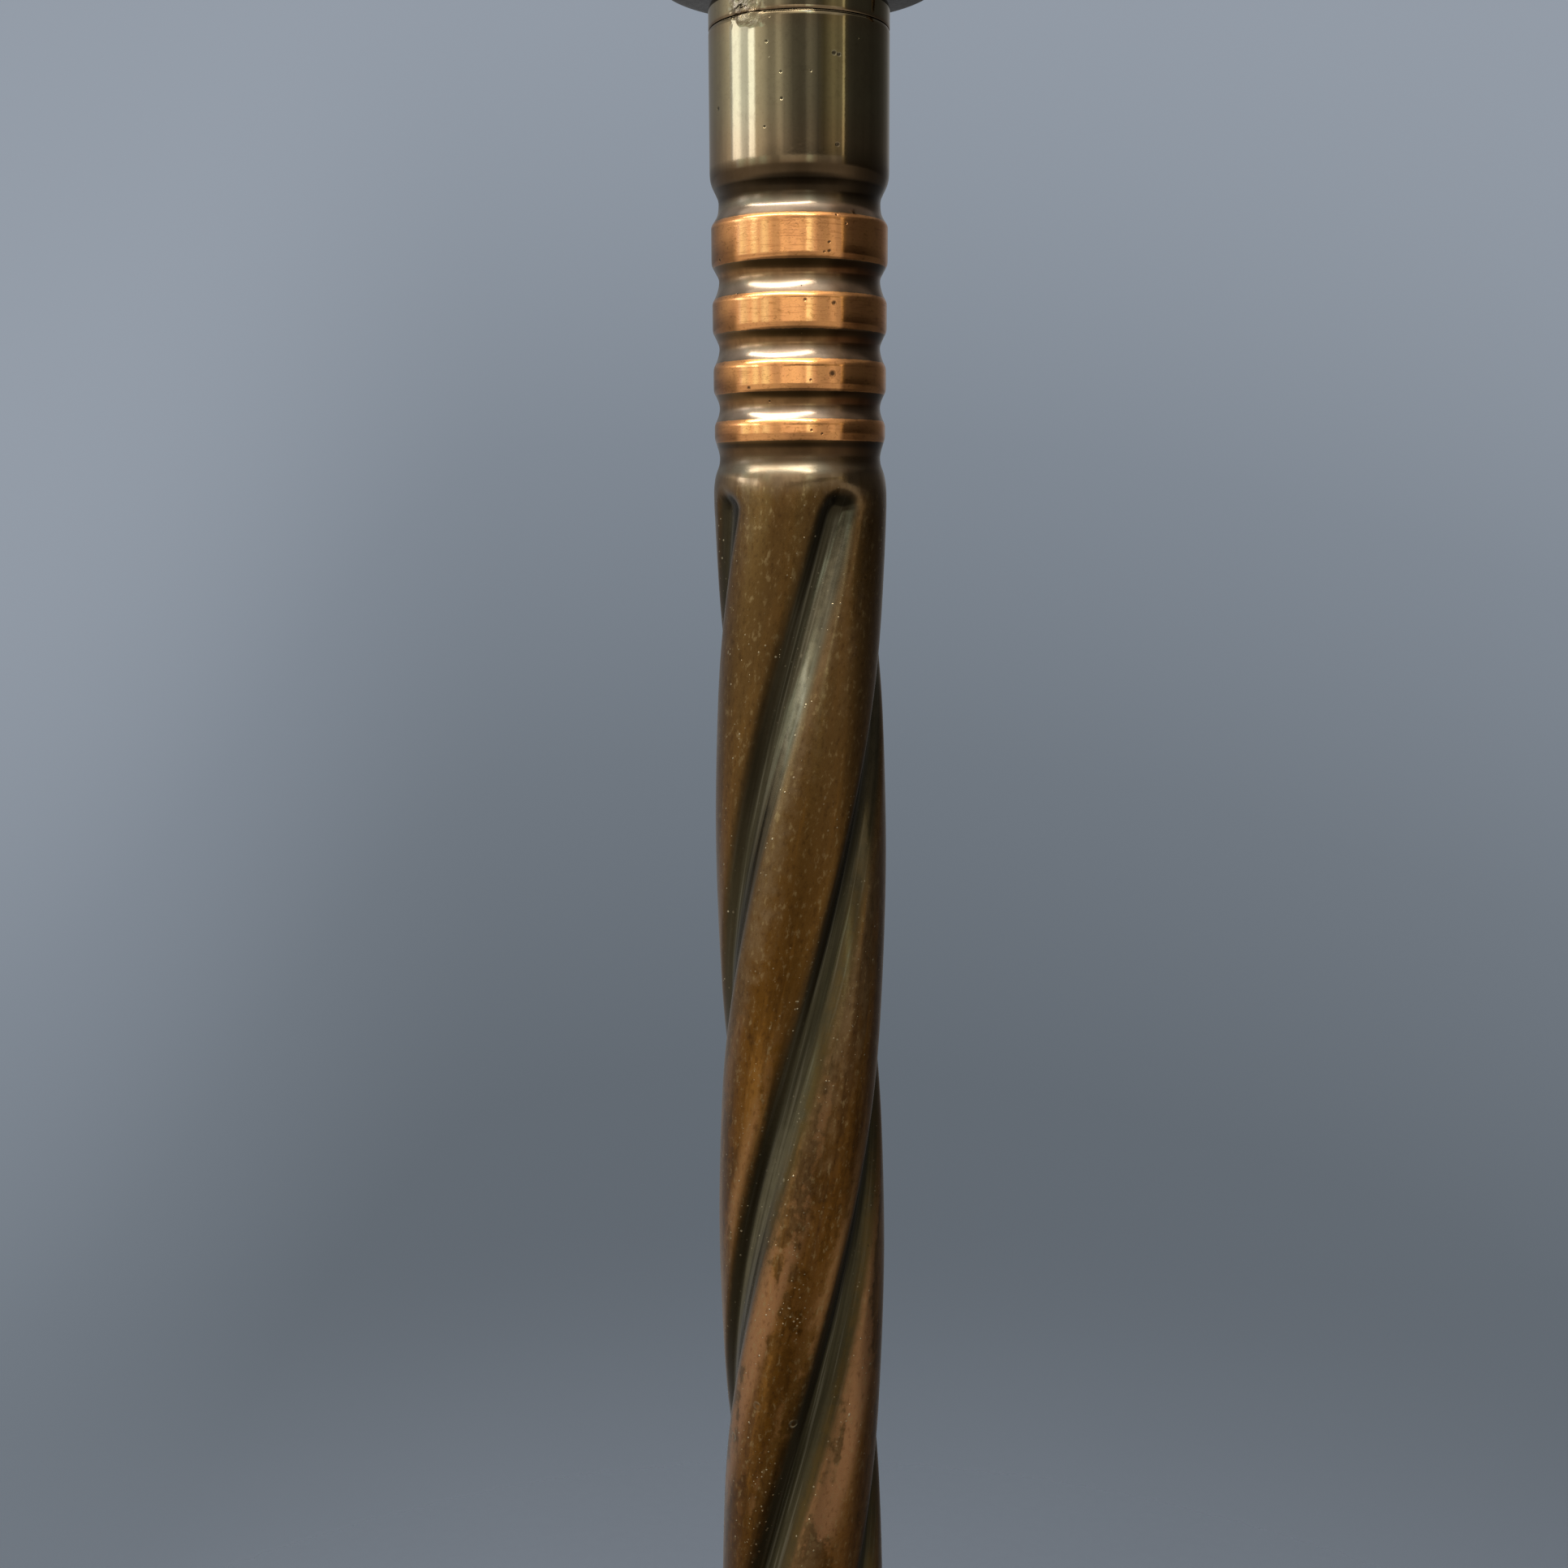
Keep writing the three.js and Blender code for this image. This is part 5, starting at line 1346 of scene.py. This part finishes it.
# ------------------------------------------------------------------------------------------------------------------
# Floor, light and camera
# ------------------------------------------------------------------------------------------------------------------
def make_floor():
    me = bpy.data.meshes.new("floor")
    bm = bmesh.new()
    bmesh.ops.create_circle(bm, cap_ends=True, cap_tris=False, segments=128, radius=2.2)
    bm.to_mesh(me)
    bm.free()
    o = new_object("floor", me)
    o.location = (0, 0, -0.0002)
    s = Shade("floor_paint")
    place = s.place()
    cloud = s.noise(place, 3.0, 4.0, 0.55)
    fine = s.noise(place, 240.0, 3.0, 0.6)
    colour = s.mix(s.ramp(cloud, 0.35, 0.65), (0.155, 0.177, 0.208), (0.148, 0.170, 0.200))
    s.set(Base_Color=colour, Roughness=s.line(fine, 0.3, 0.7, 0.62, 0.74), Specular_IOR_Level=0.25)
    # the floor melts into the backdrop away from the lamp
    flat = s.tree.nodes.new("ShaderNodeVectorMath")
    flat.operation = "LENGTH"
    s.put(flat.inputs[0], s.stretch(place, 1.0, 1.0, 0.0))
    gone = s.ramp(flat.outputs["Value"], 0.10, 0.44)
    clear = s.tree.nodes.new("ShaderNodeBsdfTransparent")
    both = s.tree.nodes.new("ShaderNodeMixShader")
    s.put(both.inputs[0], gone)
    s.tree.links.new(s.bsdf.outputs["BSDF"], both.inputs[1])
    s.tree.links.new(clear.outputs["BSDF"], both.inputs[2])
    s.tree.links.new(both.outputs["Shader"], s.out.inputs["Surface"])
    me.materials.append(s.mat)
    o.visible_glossy = False
    return o


make_floor()


def colour_band(tree, value, stops, interpolation="LINEAR"):
    n = tree.nodes.new("ShaderNodeValToRGB")
    n.color_ramp.interpolation = interpolation
    tree.links.new(value, n.inputs[0])
    el = n.color_ramp.elements
    el[0].position, el[0].color = stops[0][0], (*stops[0][1], 1.0)
    el[1].position, el[1].color = stops[-1][0], (*stops[-1][1], 1.0)
    for pos, col in stops[1:-1]:
        e = el.new(pos)
        e.color = (*col, 1.0)
    return n.outputs["Color"]


def make_world():
    """A soft studio: lit panels to the left and in front, shade to the right, and a plain grey-blue backdrop."""
    world = bpy.data.worlds.new("studio")
    scene.world = world
    world.use_nodes = True
    t = world.node_tree
    t.nodes.clear()
    out = t.nodes.new("ShaderNodeOutputWorld")
    tc = t.nodes.new("ShaderNodeTexCoord")
    xyz = t.nodes.new("ShaderNodeSeparateXYZ")
    t.links.new(tc.outputs["Generated"], xyz.inputs[0])

    def math_node(op, a, b=0.0, clamp=False):
        n = t.nodes.new("ShaderNodeMath")
        n.operation, n.use_clamp = op, clamp
        for k, v in ((0, a), (1, b)):
            if isinstance(v, bpy.types.NodeSocket):
                t.links.new(v, n.inputs[k])
            else:
                n.inputs[k].default_value = v
        return n.outputs[0]

    def smooth(value, low, high, a=0.0, b=1.0):
        n = t.nodes.new("ShaderNodeMapRange")
        n.interpolation_type, n.clamp = "SMOOTHSTEP", True
        t.links.new(value, n.inputs["Value"])
        for k, v in zip(("From Min", "From Max", "To Min", "To Max"), (low, high, a, b)):
            n.inputs[k].default_value = v
        return n.outputs["Result"]

    minus_y = math_node("MULTIPLY", xyz.outputs["Y"], -1.0)
    around = math_node("ARCTAN2", xyz.outputs["X"], minus_y)  # 0 in front, negative to the left

    def grey(v, tint=(1.0, 1.0, 1.0)):
        return (v * tint[0], v * tint[1], v * tint[2])

    cool, warm, pale = (0.88, 1.0, 1.22), (1.06, 1.0, 0.76), (0.96, 1.16, 1.20)

    def ring_of_light(stops):
        """Strength round the horizon, from stops of azimuth, strength and tint: one ramp for the left half, one for the right."""
        halves = []
        for sign in (-1, 1):
            part = [st for st in stops if (st[0] <= 0 if sign < 0 else st[0] >= 0)]
            halves.append(colour_band(t, left_half if sign < 0 else right_half, [((a + 180.0) / 180.0 if sign < 0 else a / 180.0, grey(*rest)) for a, *rest in part]))
        n = t.nodes.new("ShaderNodeMix")
        n.data_type = "RGBA"
        t.links.new(is_right, n.inputs[0])
        t.links.new(halves[0], n.inputs[6])
        t.links.new(halves[1], n.inputs[7])
        return n.outputs[2]

    up = xyz.outputs["Z"]
    # upright bars stay upright on surfaces that lean a little
    bend = math_node("ADD", math_node("MULTIPLY", math_node("MULTIPLY", up, up), 0.38), 1.0)
    straight = math_node("DIVIDE", around, bend)
    left_half = math_node("ADD", math_node("DIVIDE", straight, math.pi), 1.0, True)
    right_half = math_node("DIVIDE", straight, math.pi, True)
    is_right = math_node("GREATER_THAN", straight, 0.0)

    # a little above the horizon: two lit panels on the left
    high = ring_of_light([
        (-180, 0.24), (-152, 0.24), (-132, 0.32), (-118, 0.46), (-107, 0.70), (-98, 1.05), (-93.5, 1.30, cool), (-90.5, 3.70, cool), (-81, 3.70, cool), (-75.5, 1.95, cool), (-67, 1.75, cool),
        (-64.5, 3.90, cool), (-58.5, 3.90, cool), (-55.5, 1.35), (-44.5, 0.90), (-38, 0.56), (-31, 0.56), (-27, 0.82), (-23.5, 0.80), (-19, 0.50), (-14, 0.36), (-8, 0.20), (0, 0.17),
        (6, 0.18), (10, 0.31), (13, 0.33), (17, 0.26), (22, 0.15), (30, 0.14, warm), (36, 0.25, warm), (42, 0.37, warm), (48, 0.27, warm), (53.8, 0.34, warm), (54.8, 0.85, warm), (56.6, 0.85, warm),
        (58.2, 0.14, warm), (63, 0.085), (72, 0.058), (104, 0.045), (118, 0.050), (130, 0.075), (142, 0.13), (156, 0.25), (180, 0.24),
    ])
    # level
    level = ring_of_light([
        (-180, 0.20), (-155, 0.18), (-134, 0.25), (-115, 0.40), (-104, 0.53), (-97, 0.56), (-92, 0.66), (-88.5, 0.80), (-85, 1.05, cool), (-81, 1.16, pale), (-76, 1.02, pale), (-68, 0.97),
        (-62.5, 1.17, pale), (-59.5, 1.12, pale), (-54, 0.84), (-50, 1.00, pale), (-47, 1.18, pale), (-43, 1.00, pale), (-39, 0.88), (-34, 0.64), (-27, 0.64), (-22.5, 1.00), (-14, 0.94), (-8, 1.02), (0, 0.97),
        (5, 0.82), (7.5, 0.94), (9.3, 1.44, pale), (13.0, 1.40, pale), (15, 1.00, pale), (18, 0.78), (21.5, 0.52), (30, 0.44), (37, 0.45), (41.5, 0.62), (45, 0.62), (49, 0.46), (54.2, 0.44),
        (56.0, 0.52, warm), (58.6, 0.15, warm), (63, 0.088), (72, 0.064), (90, 0.050), (108, 0.050), (120, 0.055), (132, 0.080), (144, 0.14), (158, 0.24), (180, 0.20),
    ])
    # below the horizon: soft and even
    ground = ring_of_light([
        (-180, 0.24), (-150, 0.26), (-120, 0.38), (-100, 0.50), (-90, 0.60), (-60, 0.64), (-45, 0.60), (-34, 0.50), (-20, 0.48), (-12, 0.38), (0, 0.33),
        (8, 0.34), (14, 0.38), (22, 0.42), (32, 0.46), (42, 0.48), (50, 0.48), (56, 0.48), (62, 0.44), (69, 0.34), (78, 0.22), (92, 0.135), (106, 0.100), (120, 0.085), (136, 0.090), (152, 0.14), (180, 0.22),
    ])
    # overhead
    ceiling = ring_of_light([
        (-180, 0.34), (-120, 0.40), (-95, 0.48), (-80, 0.65), (-62, 1.45), (-38, 1.65), (-15, 1.40), (0, 1.15), (20, 0.85), (40, 0.62), (58, 0.45), (70, 0.20), (110, 0.16), (135, 0.24), (180, 0.34),
    ])

    def cross(fac, a, b):
        n = t.nodes.new("ShaderNodeMix")
        n.data_type = "RGBA"
        t.links.new(fac, n.inputs[0])
        t.links.new(a, n.inputs[6])
        t.links.new(b, n.inputs[7])
        return n.outputs[2]

    band = math_node("SUBTRACT", smooth(up, 0.158, 0.180), smooth(up, 0.272, 0.312))
    soft = cross(band, level, high)
    soft = cross(smooth(up, 0.42, 0.58), soft, ceiling)
    strip = ring_of_light([
        (-180, 0.34), (-130, 0.45), (-100, 1.00), (-75, 1.60), (-45, 1.90), (-15, 2.10), (10, 2.10), (30, 1.30), (45, 0.90), (60, 0.35), (75, 0.18), (110, 0.16), (135, 0.24), (180, 0.34),
    ])
    soft = cross(math_node("SUBTRACT", smooth(up, 0.66, 0.72), smooth(up, 0.88, 0.94)), soft, strip)
    soft = cross(smooth(up, 0.035, -0.06), soft, ground)
    shade_low = smooth(up, -0.66, -0.46, 0.30, 1.0)

    def scaled(colour, factor):
        n = t.nodes.new("ShaderNodeVectorMath")
        n.operation = "SCALE"
        t.links.new(colour, n.inputs[0])
        if isinstance(factor, bpy.types.NodeSocket):
            t.links.new(factor, n.inputs["Scale"])
        else:
            n.inputs["Scale"].default_value = factor
        return n.outputs[0]

    light = t.nodes.new("ShaderNodeBackground")
    t.links.new(scaled(soft, shade_low), light.inputs["Color"])
    light.inputs["Strength"].default_value = 1.0

    # what the camera sees: paler above and to the left, deeper below
    aside = math_node("MULTIPLY", math_node("MINIMUM", math_node("MULTIPLY", xyz.outputs["X"], xyz.outputs["X"]), 0.16), 0.55)
    glow = smooth(xyz.outputs["X"], -0.14, -0.40, 0.0, 0.20)
    view_band = colour_band(
        t, smooth(math_node("ADD", up, math_node("ADD", aside, glow)), -0.62, 0.36),
        [(0.0, (0.112, 0.130, 0.153)), (0.25, (0.124, 0.145, 0.170)), (0.5, (0.162, 0.188, 0.220)), (0.75, (0.216, 0.248, 0.292)), (1.0, (0.298, 0.336, 0.392))],
    )
    seen = t.nodes.new("ShaderNodeBackground")
    t.links.new(view_band, seen.inputs["Color"])
    seen.inputs["Strength"].default_value = 1.0
    path = t.nodes.new("ShaderNodeLightPath")
    mixed = t.nodes.new("ShaderNodeMixShader")
    t.links.new(path.outputs["Is Camera Ray"], mixed.inputs[0])
    t.links.new(light.outputs[0], mixed.inputs[1])
    t.links.new(seen.outputs[0], mixed.inputs[2])
    t.links.new(mixed.outputs[0], out.inputs["Surface"])


make_world()


def area(name, where, size, power, turn_deg=0.0, colour=(1.0, 1.0, 1.0)):
    """A flat light that faces down, size along X and Y, turned about the upright."""
    data = bpy.data.lights.new(name, "AREA")
    data.shape, data.size, data.size_y, data.energy, data.color = "RECTANGLE", size[0], size[1], power, colour
    o = bpy.data.objects.new(name, data)
    scene.collection.objects.link(o)
    o.location = where
    o.rotation_euler = (0.0, 0.0, math.radians(turn_deg))
    o.visible_camera = False
    return o


area("ceiling_line", (-0.75, -0.92, 1.50), (2.75, 0.30), 34.0, -26.0)


camera_data = bpy.data.cameras.new("camera")
camera_data.sensor_fit, camera_data.sensor_width = "HORIZONTAL", 36.0
camera_data.lens = 36.0 * 2250.0 / 1932.0
camera_data.clip_start, camera_data.clip_end = 0.01, 50.0
camera = bpy.data.objects.new("camera", camera_data)
scene.collection.objects.link(camera)
camera.location = (-0.00246, -0.2642, 0.280)
camera.rotation_mode = "QUATERNION"
camera.rotation_quaternion = (Euler((math.radians(90.0 - 8.63), 0.0, 0.0)).to_quaternion() @ Euler((0.0, 0.0, math.radians(-0.22))).to_quaternion())
scene.camera = camera
scene.view_settings.view_transform = "Standard"
scene.view_settings.look = "None"
